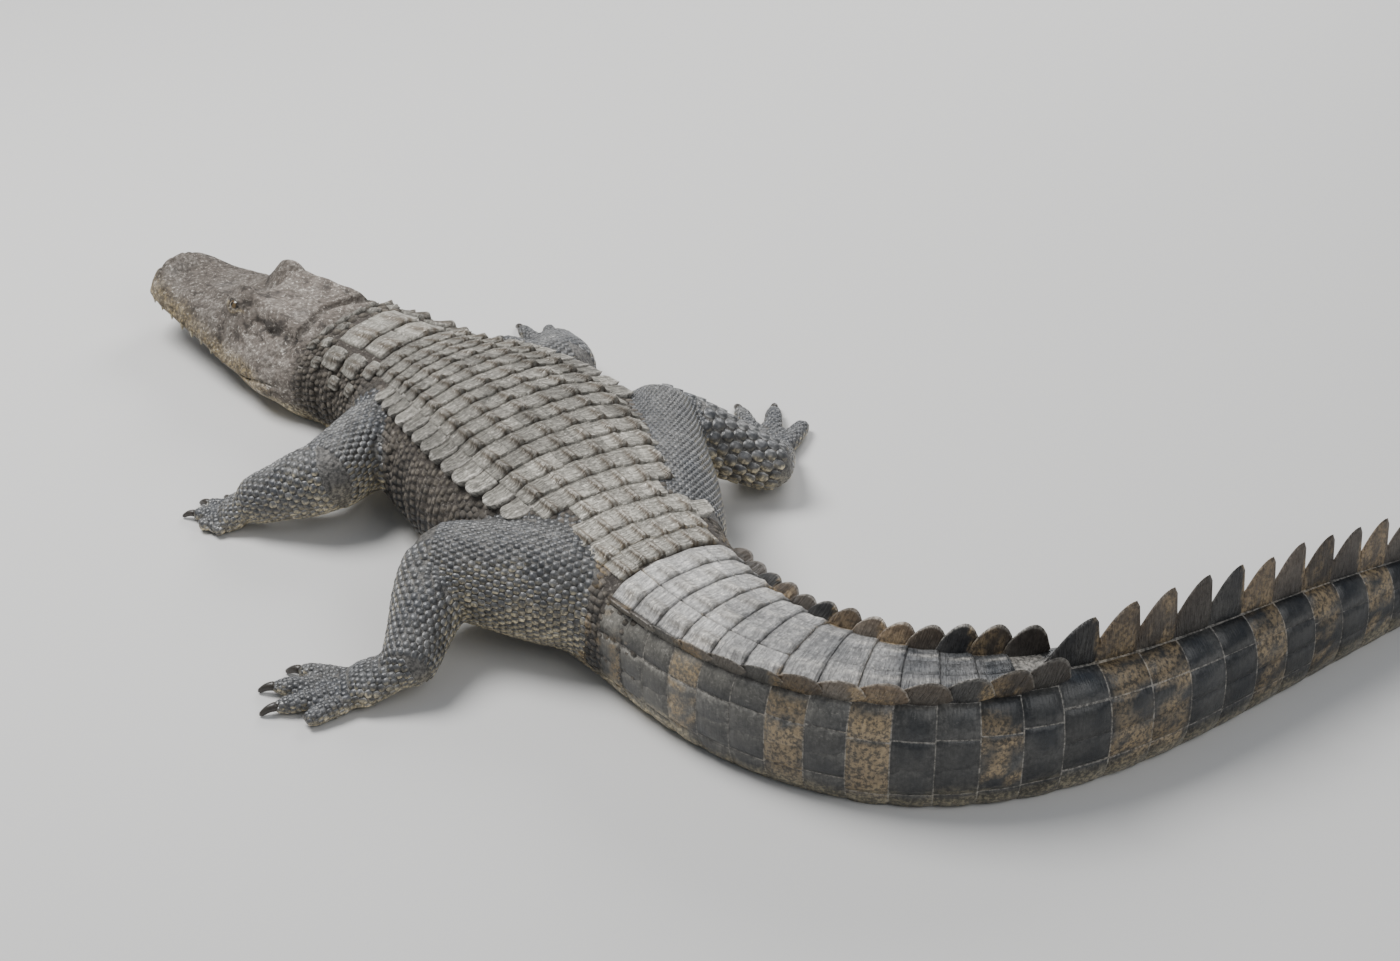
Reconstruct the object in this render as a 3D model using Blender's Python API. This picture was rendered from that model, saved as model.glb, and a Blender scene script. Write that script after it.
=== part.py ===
"""An american alligator at rest, as a still life-size model lying on a flat floor.

Metres, +Z up. The nose points towards -X and the tail towards +X, with the animal's left side
towards -Y. The origin is on the floor under the middle of the belly. A place on the body is given
as a station, the distance from the tip of the snout along the spine, with a sideways distance
(right is positive) and a height, or with an angle round the body, counted from the top of the back.
"""

import math

import bmesh
import bpy
import numpy as np

GAP = 0.0003
TAIL_END = 1.98
HEAD_LENGTH = 0.262
HEAD_RAISE = 0.125
NECK_END = 0.40
TORSO_END = 0.90
TAIL_CUTS = (1.07, 1.205, 1.345, 1.62)
BELLY_STATION = 0.64
BELLY_SAG = 0.016

# Station and the direction of the nose-ward spine there, in degrees from -X towards +Y.
BEND = (
    (0.00, 39), (0.27, 39), (0.40, 47), (0.46, 50), (0.65, 57), (0.83, 60), (0.97, 50), (1.07, 33),
    (1.17, 11), (1.27, -11), (1.37, -25), (1.47, -33), (1.57, -35), (1.72, -35), (1.98, -36),
)

# Station, half width, height of the back, height of the widest place, squareness of the section.
BODY = (
    (0.262, 0.087, 0.102, 0.042, 2.7), (0.30, 0.081, 0.108, 0.047, 2.3),
    (0.36, 0.082, 0.114, 0.050, 2.2), (0.42, 0.096, 0.121, 0.054, 2.2),
    (0.50, 0.119, 0.138, 0.058, 2.3), (0.58, 0.131, 0.148, 0.060, 2.4),
    (0.66, 0.134, 0.150, 0.060, 2.4), (0.74, 0.120, 0.145, 0.060, 2.4),
    (0.82, 0.101, 0.137, 0.060, 2.4), (0.90, 0.083, 0.131, 0.059, 2.6),
    (1.00, 0.072, 0.127, 0.057, 2.8), (1.15, 0.060, 0.123, 0.055, 2.9),
    (1.33, 0.047, 0.116, 0.051, 2.6), (1.50, 0.036, 0.106, 0.047, 2.3),
    (1.65, 0.028, 0.090, 0.041, 2.1), (1.80, 0.019, 0.064, 0.030, 2.0),
    (1.92, 0.010, 0.036, 0.017, 2.0), (1.98, 0.004, 0.014, 0.006, 2.0),
)

# Distance from the tip of the snout, half width, height of the top, height of the lip.
SKULL = (
    (0.000, 0.018, 0.037, 0.0190), (0.005, 0.030, 0.043, 0.0195), (0.014, 0.041, 0.049, 0.0205),
    (0.028, 0.0475, 0.0515, 0.0220), (0.048, 0.049, 0.050, 0.0205), (0.075, 0.052, 0.0505, 0.0190),
    (0.105, 0.058, 0.056, 0.0220), (0.130, 0.064, 0.065, 0.0230), (0.155, 0.071, 0.077, 0.0205),
    (0.180, 0.078, 0.088, 0.0220), (0.210, 0.085, 0.095, 0.0300), (0.236, 0.089, 0.098, 0.0400),
    (0.262, 0.087, 0.099, 0.0420),
)
SNOUT_SQUARENESS = 2.7
CHEEK_SQUARENESS = 1.9
TABLE_START = 0.172
TABLE_HALF = (0.036, 0.051)
TABLE_TOP = 0.102
LIP_TUCK = 0.0015
JAW_INSET = 0.0045
MOUTH_GAP = 0.0005

EYE = (0.164, 0.0440, 0.0800)
EYE_RADIUS = 0.0105
LID_RADIUS = 0.0028
NOSTRIL = (0.020, 0.0120)
EAR = ((0.196, 0.0520, 0.0870), (0.234, 0.0585, 0.0865))
TEETH_EACH_SIDE = 7
TOOTH = (0.0019, 0.0065)

# Joints of each limb as station, sideways distance and height, then the radii at those joints.
LIMBS = {
    "arm_left": (
        (0.455, -0.070, 0.062), (0.488, -0.172, 0.062), (0.425, -0.232, 0.030), (0.355, -0.272, 0.0),
    ),
    "arm_right": ((0.455, 0.070, 0.058), (0.466, 0.148, 0.052), (0.402, 0.196, 0.028), (0.330, 0.222, 0.0)),
    "leg_left": (
        (0.835, -0.045, 0.068), (0.735, -0.165, 0.076), (0.815, -0.238, 0.036), (0.764, -0.356, 0.0),
    ),
    "leg_right": ((0.800, 0.050, 0.070), (0.628, 0.142, 0.084), (0.702, 0.240, 0.036), (0.582, 0.312, 0.0)),
}
ARM_RADII = ((0.044, 0.041, 0.037), (0.036, 0.031, 0.023))
LEG_RADII = ((0.064, 0.056, 0.042), (0.038, 0.033, 0.025))
LIMB_SIDES = 12
LIMB_RINGS = 9

# Spread of each toe in degrees from the middle of the foot, and its length as a share.
HAND_TOES = ((-52, 0.74), (-26, 0.92), (0, 1.0), (26, 0.90), (52, 0.70))
FOOT_TOES = ((-27, 0.84), (-9, 1.0), (9, 0.98), (29, 0.80))
CLAWED_TOES = 3
TOE_RADIUS = {"hand": 0.0086, "foot": 0.0108}
CLAW_LENGTH = {"hand": 0.013, "foot": 0.016}
PALM_SHARE = 0.46
WEB_DEPTH = 0.0045

# Rows of the back: first and last station, rows, keels across half the back as shares of its width.
BACK_ROWS = (0.425, 0.875, 13)
BACK_KEELS = (0.13, 0.385, 0.63)
PLATE_WIDTH = 0.215
SCUTE_LIFT = 0.0022
KEEL_LIFT = 0.0075
SCUTE_ROOT = 0.0045

# Plates of the neck: station, share of the half width out, length and width.
NECK_PLATES = (
    (0.286, 0.20, 0.022, 0.019), (0.286, 0.52, 0.018, 0.015), (0.338, 0.225, 0.038, 0.031),
    (0.336, 0.64, 0.028, 0.021), (0.3775, 0.22, 0.034, 0.030), (0.376, 0.60, 0.024, 0.019),
)

CREST_MERGE = 1.335
DOUBLE_CREST_ROWS = 12
SINGLE_CREST_ROWS = 15
KEELED_TAIL_ROWS = 6

COLOURS = {
    "head": (0.165, 0.150, 0.135), "lower_jaw": (0.210, 0.185, 0.130), "eye": (0.150, 0.105, 0.040),
    "neck": (0.150, 0.135, 0.120), "torso": (0.155, 0.142, 0.130), "tail": (0.045, 0.050, 0.055),
    "limb": (0.085, 0.090, 0.105),
}


def curve(table, at):
    """Smooth values between the rows of a table whose first column is the place."""
    rows = np.array(table, float)
    place, values = rows[:, 0], rows[:, 1:]
    slope = np.gradient(values, place, axis=0)
    at = np.clip(np.asarray(at, float), place[0], place[-1])
    i = np.clip(np.searchsorted(place, at, side="right") - 1, 0, len(place) - 2)
    step = place[i + 1] - place[i]
    t = ((at - place[i]) / step)[..., None]
    step = step[..., None]
    return (
        values[i] * (1 + 2 * t) * (1 - t) ** 2
        + slope[i] * step * t * (1 - t) ** 2
        + values[i + 1] * t**2 * (3 - 2 * t)
        + slope[i + 1] * step * t**2 * (t - 1)
    )


def laid_spine():
    """Stations with the spine's heading and place on the floor at each, from the bend table."""
    station = np.linspace(0, TAIL_END, 991)
    heading = np.radians(curve(BEND, station)[:, 0])
    step = np.diff(station, prepend=station[0])
    x = np.cumsum(np.cos(heading) * step)
    y = np.cumsum(-np.sin(heading) * step)
    middle = np.searchsorted(station, BELLY_STATION)
    return station, heading, x - x[middle], y - y[middle]


SPINE = laid_spine()


def place(station, side, height):
    """World points from stations, sideways distances and heights."""
    station, side, height = np.broadcast_arrays(station, side, height)
    heading = np.interp(station, SPINE[0], SPINE[1])
    x = np.interp(station, SPINE[0], SPINE[2]) + side * np.sin(heading)
    y = np.interp(station, SPINE[0], SPINE[3]) + side * np.cos(heading)
    return np.stack([x, y, height], axis=-1)


def on_head(along, side, height):
    """World points of the head, which is sheared up towards the snout and stays square to the neck."""
    return place(along, side, height + HEAD_RAISE * (HEAD_LENGTH - np.asarray(along)))


def section(station, angle):
    """Sideways distance and height of the body's surface, a superellipse flattened by the floor."""
    half, top, waist, square = np.moveaxis(curve(BODY, station), -1, 0)
    rise = np.abs(np.cos(angle)) ** (2 / square)
    side = half * np.sign(np.sin(angle)) * np.abs(np.sin(angle)) ** (2 / square)
    height = np.where(np.cos(angle) >= 0, waist + rise * (top - waist), waist - rise * (waist + BELLY_SAG))
    return side, height


def skin(station, angle, lift=0.0):
    """World points at a lift above the body's surface, along its outward direction."""
    station, angle, lift = np.broadcast_arrays(station, angle, lift)
    side, height = section(station, angle)
    ahead, behind = section(station, angle + 0.02), section(station, angle - 0.02)
    across, down = ahead[0] - behind[0], ahead[1] - behind[1]
    length = np.hypot(across, down)
    side, height = side - lift * down / length, height + lift * across / length
    return place(station, side, np.maximum(height, 0))


def angle_at(station, share):
    """Angle from the top of the back to where the surface is a share of the half width out."""
    square = curve(BODY, station)[..., 3]
    return np.sign(share) * np.arcsin(np.abs(share) ** (square / 2))


def collection(name):
    made = bpy.data.collections.new(name)
    bpy.context.scene.collection.children.link(made)
    return made


def solid(name, points, faces):
    """A closed mesh object with triangles that face outwards."""
    mesh = bpy.data.meshes.new(name)
    mesh.from_pydata([tuple(p) for p in np.asarray(points, float)], [], faces)
    work = bmesh.new()
    work.from_mesh(mesh)
    bmesh.ops.remove_doubles(work, verts=work.verts, dist=0.00001)
    bmesh.ops.triangulate(work, faces=work.faces)
    bmesh.ops.recalc_face_normals(work, faces=work.faces)
    work.to_mesh(mesh)
    work.free()
    made = bpy.data.objects.new(name, mesh)
    bpy.context.scene.collection.objects.link(made)
    return made


def rings_solid(name, rings):
    """A closed surface through rings of points, each ring flat at the two ends."""
    count, around = rings.shape[:2]
    faces = [
        (
            i * around + j, i * around + (j + 1) % around,
            (i + 1) * around + (j + 1) % around, (i + 1) * around + j,
        )
        for i in range(count - 1)
        for j in range(around)
    ]
    faces.append(tuple(range(around)))
    faces.append(tuple((count - 1) * around + j for j in range(around)))
    return solid(name, rings.reshape(-1, 3), faces)


def largest_surface(thing):
    """Keeps only the largest closed surface of an object."""
    work = bmesh.new()
    work.from_mesh(thing.data)
    bmesh.ops.remove_doubles(work, verts=work.verts, dist=0.00001)
    islands = []
    waiting = set(work.verts)
    while waiting:
        front = [waiting.pop()]
        island = set(front)
        while front:
            for edge in front.pop().link_edges:
                for vertex in edge.verts:
                    if vertex in waiting:
                        waiting.remove(vertex)
                        island.add(vertex)
                        front.append(vertex)
        islands.append(island)
    islands.sort(key=len)
    for island in islands[:-1]:
        bmesh.ops.delete(work, geom=list(island), context="VERTS")
    bmesh.ops.triangulate(work, faces=work.faces)
    work.to_mesh(thing.data)
    work.free()


def combine(thing, others, operation):
    """Joins other closed objects to one object, or cuts them from it, and removes them."""
    if not others:
        return thing
    group = collection("tools_" + thing.name)
    for other in others:
        bpy.context.scene.collection.objects.unlink(other)
        group.objects.link(other)
        other.hide_render = True
        other.display_type = "WIRE"
    modifier = thing.modifiers.new("combine", "BOOLEAN")
    modifier.operation = operation
    modifier.operand_type = "COLLECTION"
    modifier.collection = group
    modifier.solver = "EXACT"
    graph = bpy.context.evaluated_depsgraph_get()
    mesh = bpy.data.meshes.new_from_object(thing.evaluated_get(graph))
    thing.modifiers.clear()
    thing.data = mesh
    for other in others:
        bpy.data.objects.remove(other)
    bpy.data.collections.remove(group)
    largest_surface(thing)
    return thing


def body_length(name, start, end, spacing, around, grow=0.0):
    """A length of the body between two stations, cut square to the spine."""
    station = np.linspace(start, end, max(3, round((end - start) / spacing) + 1))[:, None]
    angle = np.linspace(-math.pi, math.pi, around, endpoint=False)[None, :]
    return rings_solid(name, skin(station, angle, grow))


def scute(station, angle, length, width, keel, grow=0.0):
    """One keeled plate: a six-sided plate sunk into the skin, with a keel that rises backwards."""
    edges = section(station, angle + np.array([-0.01, 0.01]))
    per_turn = np.hypot(np.diff(edges[0]), np.diff(edges[1]))[0] / 0.02
    turn = width / 2 / per_turn
    ds = np.array([-0.50, -0.42, 0.38, 0.50, 0.38, -0.42]) * (length + 2 * grow)
    da = np.array([0.0, -1.0, -0.92, 0.0, 0.92, 1.0]) * (turn + grow / per_turn)
    root = skin(station + ds * 0.86, angle + da * 0.86, -SCUTE_ROOT)
    rim = skin(station + ds, angle + da, SCUTE_LIFT + grow)
    ridge = skin(station + np.array([-0.28, 0.36]) * length, angle, np.array([0.55, 1.0]) * keel + grow)
    faces = [tuple(range(6))]
    faces += [(i, (i + 1) % 6, 6 + (i + 1) % 6, 6 + i) for i in range(6)]
    faces += [(6, 7, 12), (7, 8, 13, 12), (8, 9, 13), (9, 10, 13), (10, 11, 12, 13), (11, 6, 12)]
    return solid("scute", np.concatenate([root, rim, ridge]), faces)


def fin(station, angle, length, height, thickness, outward=1.0, grow=0.0):
    """One crest scute: a fin with a rounded front edge, its tip at the back, and a thick root."""
    run = np.array([-0.50, -0.50, -0.30, 0.05, 0.46, 0.40, 0.40]) * (length + 2 * grow)
    rise = np.array([-0.006, 0.0, 0.45 * height, 0.84 * height, height, 0.3 * height, -0.006])
    thick = (thickness / 2) * np.array([1.0, 1.0, 0.62, 0.34, 0.16, 0.62, 1.0]) + grow
    side, up = section(np.full(7, station), np.full(7, angle))
    lean = math.sin(angle) * outward
    sides = side + lean * np.maximum(rise, 0) * 0.35
    heights = section(station + run, np.full(7, angle))[1] + rise + grow * (rise > 0)
    left = place(station + run, sides - thick, heights)
    right = place(station + run, sides + thick, heights)
    faces = [tuple(range(7)), tuple(range(7, 14))]
    faces += [(i, (i + 1) % 7, 7 + (i + 1) % 7, 7 + i) for i in range(7)]
    return solid("fin", np.concatenate([left, right]), faces)


def neck_plates(grow=0.0):
    """Pairs of large keeled plates behind the skull."""
    made = []
    for station, share, length, width in NECK_PLATES:
        for sign in (-1, 1):
            angle = sign * float(angle_at(station, share))
            made.append(scute(station, angle, length, width, 1.25 * KEEL_LIFT, grow))
    return made


def back_scutes(grow=0.0):
    """Rows of keeled plates over the back, widest at the middle of the trunk."""
    first, last, rows = BACK_ROWS
    pitch = (last - first) / (rows - 1)
    made = []
    for row in range(rows):
        station = first + row * pitch
        fullness = math.sin(math.pi * (row + 1.5) / (rows + 2))
        width = PLATE_WIDTH * float(curve(BODY, station)[0])
        for column, share in enumerate(BACK_KEELS):
            if column == 2 and row in (0, rows - 1):
                continue
            for sign in (-1, 1):
                angle = sign * float(angle_at(station, share * (0.88 + 0.12 * fullness)))
                keel = KEEL_LIFT * (0.85 + 0.3 * fullness) * (1.2 if column == 2 else 1.0)
                made.append(scute(station, angle, 0.86 * pitch, width, keel, grow))
    return made


def double_crest(start, end, grow=0.0):
    """Two rows of fins on the upper corners of the tail, taller and closer together backwards."""
    made = []
    edges = np.linspace(TORSO_END + 0.006, CREST_MERGE, DOUBLE_CREST_ROWS + 1)
    for before, after in zip(edges[:-1], edges[1:]):
        station = (before + after) / 2
        if not start + 0.012 < station < end - 0.012:
            continue
        grown = (station - TORSO_END) / (CREST_MERGE - TORSO_END)
        length = 0.90 * (after - before)
        angle = math.radians(50 - 30 * grown**2)
        for sign in (-1, 1):
            made.append(fin(station, sign * angle, length, 0.012 + 0.026 * grown, 0.010, 1.0, grow))
    return made


def single_crest(start, end, grow=0.0):
    """One row of tall fins along the top of the tail, lower towards its end."""
    made = []
    edges = CREST_MERGE + (TAIL_END - 0.02 - CREST_MERGE) * np.linspace(0, 1, SINGLE_CREST_ROWS + 1) ** 0.93
    for before, after in zip(edges[:-1], edges[1:]):
        station = (before + after) / 2
        if not start < station < end:
            continue
        before, after = max(before, start + 0.001), min(after, end - 0.001)
        station = (before + after) / 2
        grown = (station - CREST_MERGE) / (TAIL_END - CREST_MERGE)
        height = 0.012 + 0.040 * math.sin(math.pi * (0.30 + 0.62 * grown)) ** 1.2
        thickness = 0.011 - 0.007 * grown
        made.append(fin(station, 0.0, 0.93 * (after - before), height, thickness, 1.0, grow))
    return made


def tail_keels(start, end):
    """Small keeled plates between the two crests, fading out backwards."""
    made = []
    edges = np.linspace(TORSO_END + 0.006, CREST_MERGE, DOUBLE_CREST_ROWS + 1)
    for number, station in enumerate((edges[:-1] + edges[1:]) / 2):
        if number >= KEELED_TAIL_ROWS or not start + 0.016 < station < end - 0.016:
            continue
        for sign in (-1, 1):
            angle = sign * float(angle_at(station, 0.24))
            keel = KEEL_LIFT * (1 - 0.5 * number / KEELED_TAIL_ROWS)
            made.append(scute(station, angle, 0.029, 0.019, keel))
    return made


def tail_forms(start, end):
    """Crest scutes and keeled plates that stand on one length of the tail."""
    crests = double_crest(start, min(end, CREST_MERGE)) + single_crest(max(start, CREST_MERGE), end)
    return crests + tail_keels(start, end)


def skull_height(along, side):
    """Height of the top of the head over the floor, as a function of its plan."""
    half, top, lip = np.moveaxis(curve(SKULL, along), -1, 0)
    blend = np.clip((along - 0.10) / 0.06, 0, 1)
    square = SNOUT_SQUARENESS + (CHEEK_SQUARENESS - SNOUT_SQUARENESS) * blend
    share = np.clip(np.abs(side) / half, 0, 1)
    height = lip + (top - lip) * (1 - share**square) ** (1 / square)
    out = np.abs(side)
    # Disc round the nostrils, ridge from snout to orbit, and the orbit itself.
    height = height + 0.0055 * np.exp(-(((along - 0.021) / 0.013) ** 2) - (side / 0.019) ** 2)
    ridge = 0.016 + 0.14 * np.clip(along - 0.05, 0, 0.08)
    along_ridge = np.exp(-(((along - 0.105) / 0.035) ** 2))
    height = height + 0.0035 * along_ridge * np.exp(-(((out - ridge) / 0.008) ** 2))
    orbit = ((along - EYE[0] - 0.001) / 0.0225) ** 2 + ((out - EYE[1] + 0.0035) / 0.0165) ** 2
    height = height + 0.0300 * np.exp(-orbit)
    height = height - 0.0040 * np.exp(-(((along - EYE[0]) / 0.022) ** 2) - (side / 0.010) ** 2)
    # Skull table: a flat plate with steep sides, wider to the back.
    run = np.clip((along - TABLE_START) / (HEAD_LENGTH - TABLE_START), 0, 1)
    edge = TABLE_HALF[0] + (TABLE_HALF[1] - TABLE_HALF[0]) * run**0.6
    start = np.clip((along - TABLE_START + 0.004) / 0.018, 0, 1)
    table = (TABLE_TOP - 0.004 * (1 - run)) - 2.2 * np.clip(out - edge, 0, None)
    table = height + (table - height) * start
    return np.maximum(height, table)


def skull_ring(along, count):
    """One cross-section of the upper head, from lip to lip over the top, with tucked lips."""
    half, _, lip = curve(SKULL, along)
    angle = np.linspace(-math.pi / 2, math.pi / 2, count)
    side = half * np.sin(angle)
    height = skull_height(np.full(count, along), side)
    height[0] = height[-1] = lip + 0.003
    tuck = half - LIP_TUCK
    side = np.concatenate([[-tuck], side, [tuck]])
    height = np.concatenate([[lip], height, [lip]])
    return on_head(along, side, height)


def tube(name, path, radii, sides, flat=1.0, grow=0.0):
    """A tube with rounded ends along a path, lowered in height by a factor and flat on the floor."""
    path, radii = np.asarray(path, float), np.asarray(radii, float)
    ahead = np.gradient(path, axis=0)
    ahead /= np.linalg.norm(ahead, axis=1)[:, None]
    across = np.cross(ahead, (0, 0, 1))
    across /= np.maximum(np.linalg.norm(across, axis=1), 1e-6)[:, None]
    up = np.cross(across, ahead)
    angle = np.linspace(0, 2 * math.pi, sides, endpoint=False)
    reach = (radii + grow)[:, None, None]
    rings = path[:, None] + reach * (
        np.cos(angle)[None, :, None] * across[:, None] + flat * np.sin(angle)[None, :, None] * up[:, None]
    )
    rings[0] -= ahead[0] * grow
    rings[-1] += ahead[-1] * grow
    rings[..., 2] = np.maximum(rings[..., 2], 0)
    return rings_solid(name, rings)


def capsule(name, start, end, radii, grow=0.0, flat=1.0, sides=LIMB_SIDES, rings=LIMB_RINGS):
    """A limb segment between two joints: three radii along it and rounded ends."""
    start, end = np.asarray(start, float), np.asarray(end, float)
    ahead = (end - start) / np.linalg.norm(end - start)
    first, last = start - 0.8 * radii[0] * ahead, end + 0.8 * radii[2] * ahead
    length = np.linalg.norm(last - first)
    share = (1 - np.cos(np.linspace(0, math.pi, rings))) / 2
    width = np.interp(share, (0, 0.5, 1), radii)
    near = np.clip((radii[0] - share * length) / radii[0], 0, 1)
    far = np.clip((radii[2] - (1 - share) * length) / radii[2], 0, 1)
    width = width * np.sqrt(np.maximum(1 - near**2, 0.10)) * np.sqrt(np.maximum(1 - far**2, 0.10))
    return tube(name, first + share[:, None] * (last - first), width, sides, flat, grow)


def bead(name, along, side, height, sizes, segments=8):
    """An egg of three half sizes, lying along the head."""
    bpy.ops.mesh.primitive_uv_sphere_add(segments=segments, ring_count=segments * 5 // 8, radius=1)
    ball = bpy.context.object
    shape = np.array([tuple(vertex.co) for vertex in ball.data.vertices])
    faces = [tuple(face.vertices) for face in ball.data.polygons]
    bpy.data.objects.remove(ball)
    shape = shape * sizes
    points = on_head(along + shape[:, 0], side + shape[:, 1], height + shape[:, 2])
    return solid(name, points, faces)


def eye_solid(name, sign, radius):
    return bead(name, EYE[0], sign * EYE[1], EYE[2], (radius, radius, radius), 14)


def lid(sign):
    """An almond ring of skin round the eye, on a slanting plane that faces out and up."""
    turn = np.linspace(0, 2 * math.pi, 14, endpoint=False)
    out, up = math.cos(math.radians(28)), math.sin(math.radians(28))
    along = EYE[0] + 0.0125 * np.cos(turn)
    tall = 0.0078 * np.sin(turn)
    depth = 0.0085 - 0.0045 * np.cos(turn) ** 2
    side = EYE[1] + depth * out - tall * up
    height = EYE[2] + depth * up + tall * out
    path = on_head(along, sign * side, height)
    centre = on_head(EYE[0], sign * EYE[1], EYE[2])
    outward = (path - centre) / np.linalg.norm(path - centre, axis=1)[:, None]
    ahead = np.roll(path, -1, axis=0) - np.roll(path, 1, axis=0)
    ahead /= np.linalg.norm(ahead, axis=1)[:, None]
    across = np.cross(ahead, outward)
    angle = np.linspace(0, 2 * math.pi, 6, endpoint=False)[None, :, None]
    rings = np.cos(angle) * outward[:, None] + np.sin(angle) * across[:, None]
    rings = path[:, None] + LID_RADIUS * rings
    count, around = rings.shape[:2]
    faces = [
        (i * around + j, i * around + (j + 1) % around,
         (i + 1) % count * around + (j + 1) % around, (i + 1) % count * around + j)
        for i in range(count)
        for j in range(around)
    ]
    return solid("lid", rings.reshape(-1, 3), faces)


def tooth(along, sign):
    """A cone that hangs from the upper lip, outside the lower jaw."""
    half, _, lip = curve(SKULL, along)
    radius, length = TOOTH
    length = length * (0.7 + 0.3 * math.cos(along * 95))
    turn = np.linspace(0, 2 * math.pi, 6, endpoint=False)
    side = sign * (half - LIP_TUCK - 0.0006)
    ring = on_head(along + radius * np.cos(turn), side + sign * radius * 0.6 * np.sin(turn), lip + 0.003)
    tip = on_head(along, side, lip - length)
    faces = [tuple(range(6))] + [(i, (i + 1) % 6, 6) for i in range(6)]
    return solid("tooth", np.concatenate([ring, tip[None]]), faces)


def skull_stations():
    """Stations of the head's cross-sections, closer together round the eyes and cheeks."""
    along = np.array([row[0] for row in SKULL])
    halfway = (along[5:-1] + along[6:]) / 2
    along = np.sort(np.concatenate([along, halfway, EYE[0] + np.array([-0.004, 0.009])]))
    along[-1] -= GAP / 2
    return along


def head():
    along = skull_stations()
    made = rings_solid("head", np.stack([skull_ring(a, 21) for a in along]))
    forms, cuts = [], []
    for sign in (-1, 1):
        forms.append(lid(sign))
        front, back = EAR
        forms.append(bead("flap", (front[0] + back[0]) / 2, sign * (front[1] + back[1]) / 2, front[2],
                          ((back[0] - front[0]) / 2, 0.0040, 0.0034)))
        cuts.append(bead("slit", (front[0] + back[0]) / 2, sign * ((front[1] + back[1]) / 2 + 0.0035),
                         front[2] - 0.0048, ((back[0] - front[0]) / 2.3, 0.0040, 0.0016)))
        cuts.append(bead("nostril", NOSTRIL[0], sign * NOSTRIL[1], 0.0575, (0.0058, 0.0032, 0.0052)))
        cuts.append(eye_solid("socket", sign, EYE_RADIUS + GAP))
        for along_jaw in np.linspace(0.022, 0.150, TEETH_EACH_SIDE):
            forms.append(tooth(along_jaw, sign))
    combine(made, forms, "UNION")
    return [combine(made, cuts, "DIFFERENCE")]


def jaw_ring(along):
    """One cross-section of the lower jaw: sides that lean in to a flat underside."""
    half, _, lip = curve(SKULL, along)
    inset = JAW_INSET * (1 - np.clip((along - 0.19) / 0.06, 0, 1) ** 2)
    half, lip = half - inset, lip - MOUTH_GAP
    rise = 0.005 * math.exp(-along / 0.02)
    flat = half - 0.010 - 0.014 * np.clip((along - 0.20) / 0.06, 0, 1)
    share = np.array([-1.0, -0.5, 0, 0.5, 1.0])
    outer = np.array([half - 0.003, half, half - 0.001])
    wall = np.array([rise + 0.006, lip - 0.003, lip])
    side = np.concatenate([-outer[::-1], share * flat, outer])
    height = np.concatenate([wall[::-1], np.full(5, rise), wall])
    return on_head(along, side, height)


def lower_jaw():
    along = skull_stations()[1:]
    return [rings_solid("lower_jaw", np.stack([jaw_ring(a) for a in along]))]


def eyes():
    return [eye_solid("eye_left", -1, EYE_RADIUS), eye_solid("eye_right", 1, EYE_RADIUS)]


def neck_solid(name, grow=0.0):
    made = body_length(name, HEAD_LENGTH + GAP / 2, NECK_END - GAP / 2, 0.024, 20, grow)
    return combine(made, neck_plates(grow), "UNION")


def torso_solid(name, grow=0.0):
    made = body_length(name, NECK_END + GAP / 2 - grow, TORSO_END - GAP / 2 + grow, 0.042, 20, grow)
    return combine(made, back_scutes(grow), "UNION")


def tail():
    cuts = (TORSO_END,) + TAIL_CUTS + (TAIL_END,)
    made = []
    for number, (start, end) in enumerate(zip(cuts[:-1], cuts[1:]), 1):
        start, end = start + GAP / 2, end - GAP / 2
        length = body_length(f"tail_{number}", start, end, 0.036, 16)
        made.append(combine(length, tail_forms(start, end), "UNION"))
    return made


def web(root, turns, reaches, depth):
    """The skin between the toes: a low fan from the palm, its edge drawn in between the toe tips."""
    turns, reaches = np.asarray(turns), np.asarray(reaches)
    order = np.argsort(turns)
    turns, reaches = turns[order], reaches[order]
    share = np.linspace(0, len(turns) - 1, 4 * len(turns) - 3)
    turn = np.interp(share, np.arange(len(turns)), turns)
    reach = np.interp(share, np.arange(len(turns)), reaches) * (0.70 - 0.22 * np.sin(math.pi * share) ** 2)
    edge = root[:2] + reach[:, None] * np.stack([np.cos(turn), np.sin(turn)], axis=-1)
    rim = np.concatenate([root[None, :2], edge])
    count = len(rim)
    points = np.concatenate([np.c_[rim, np.full(count, 0.002)], np.c_[rim, np.full(count, 0.002 + depth)]])
    faces = [tuple(range(count)), tuple(range(count, 2 * count))]
    faces += [(i, (i + 1) % count, count + (i + 1) % count, count + i) for i in range(count)]
    return solid("web", points, faces)


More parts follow.
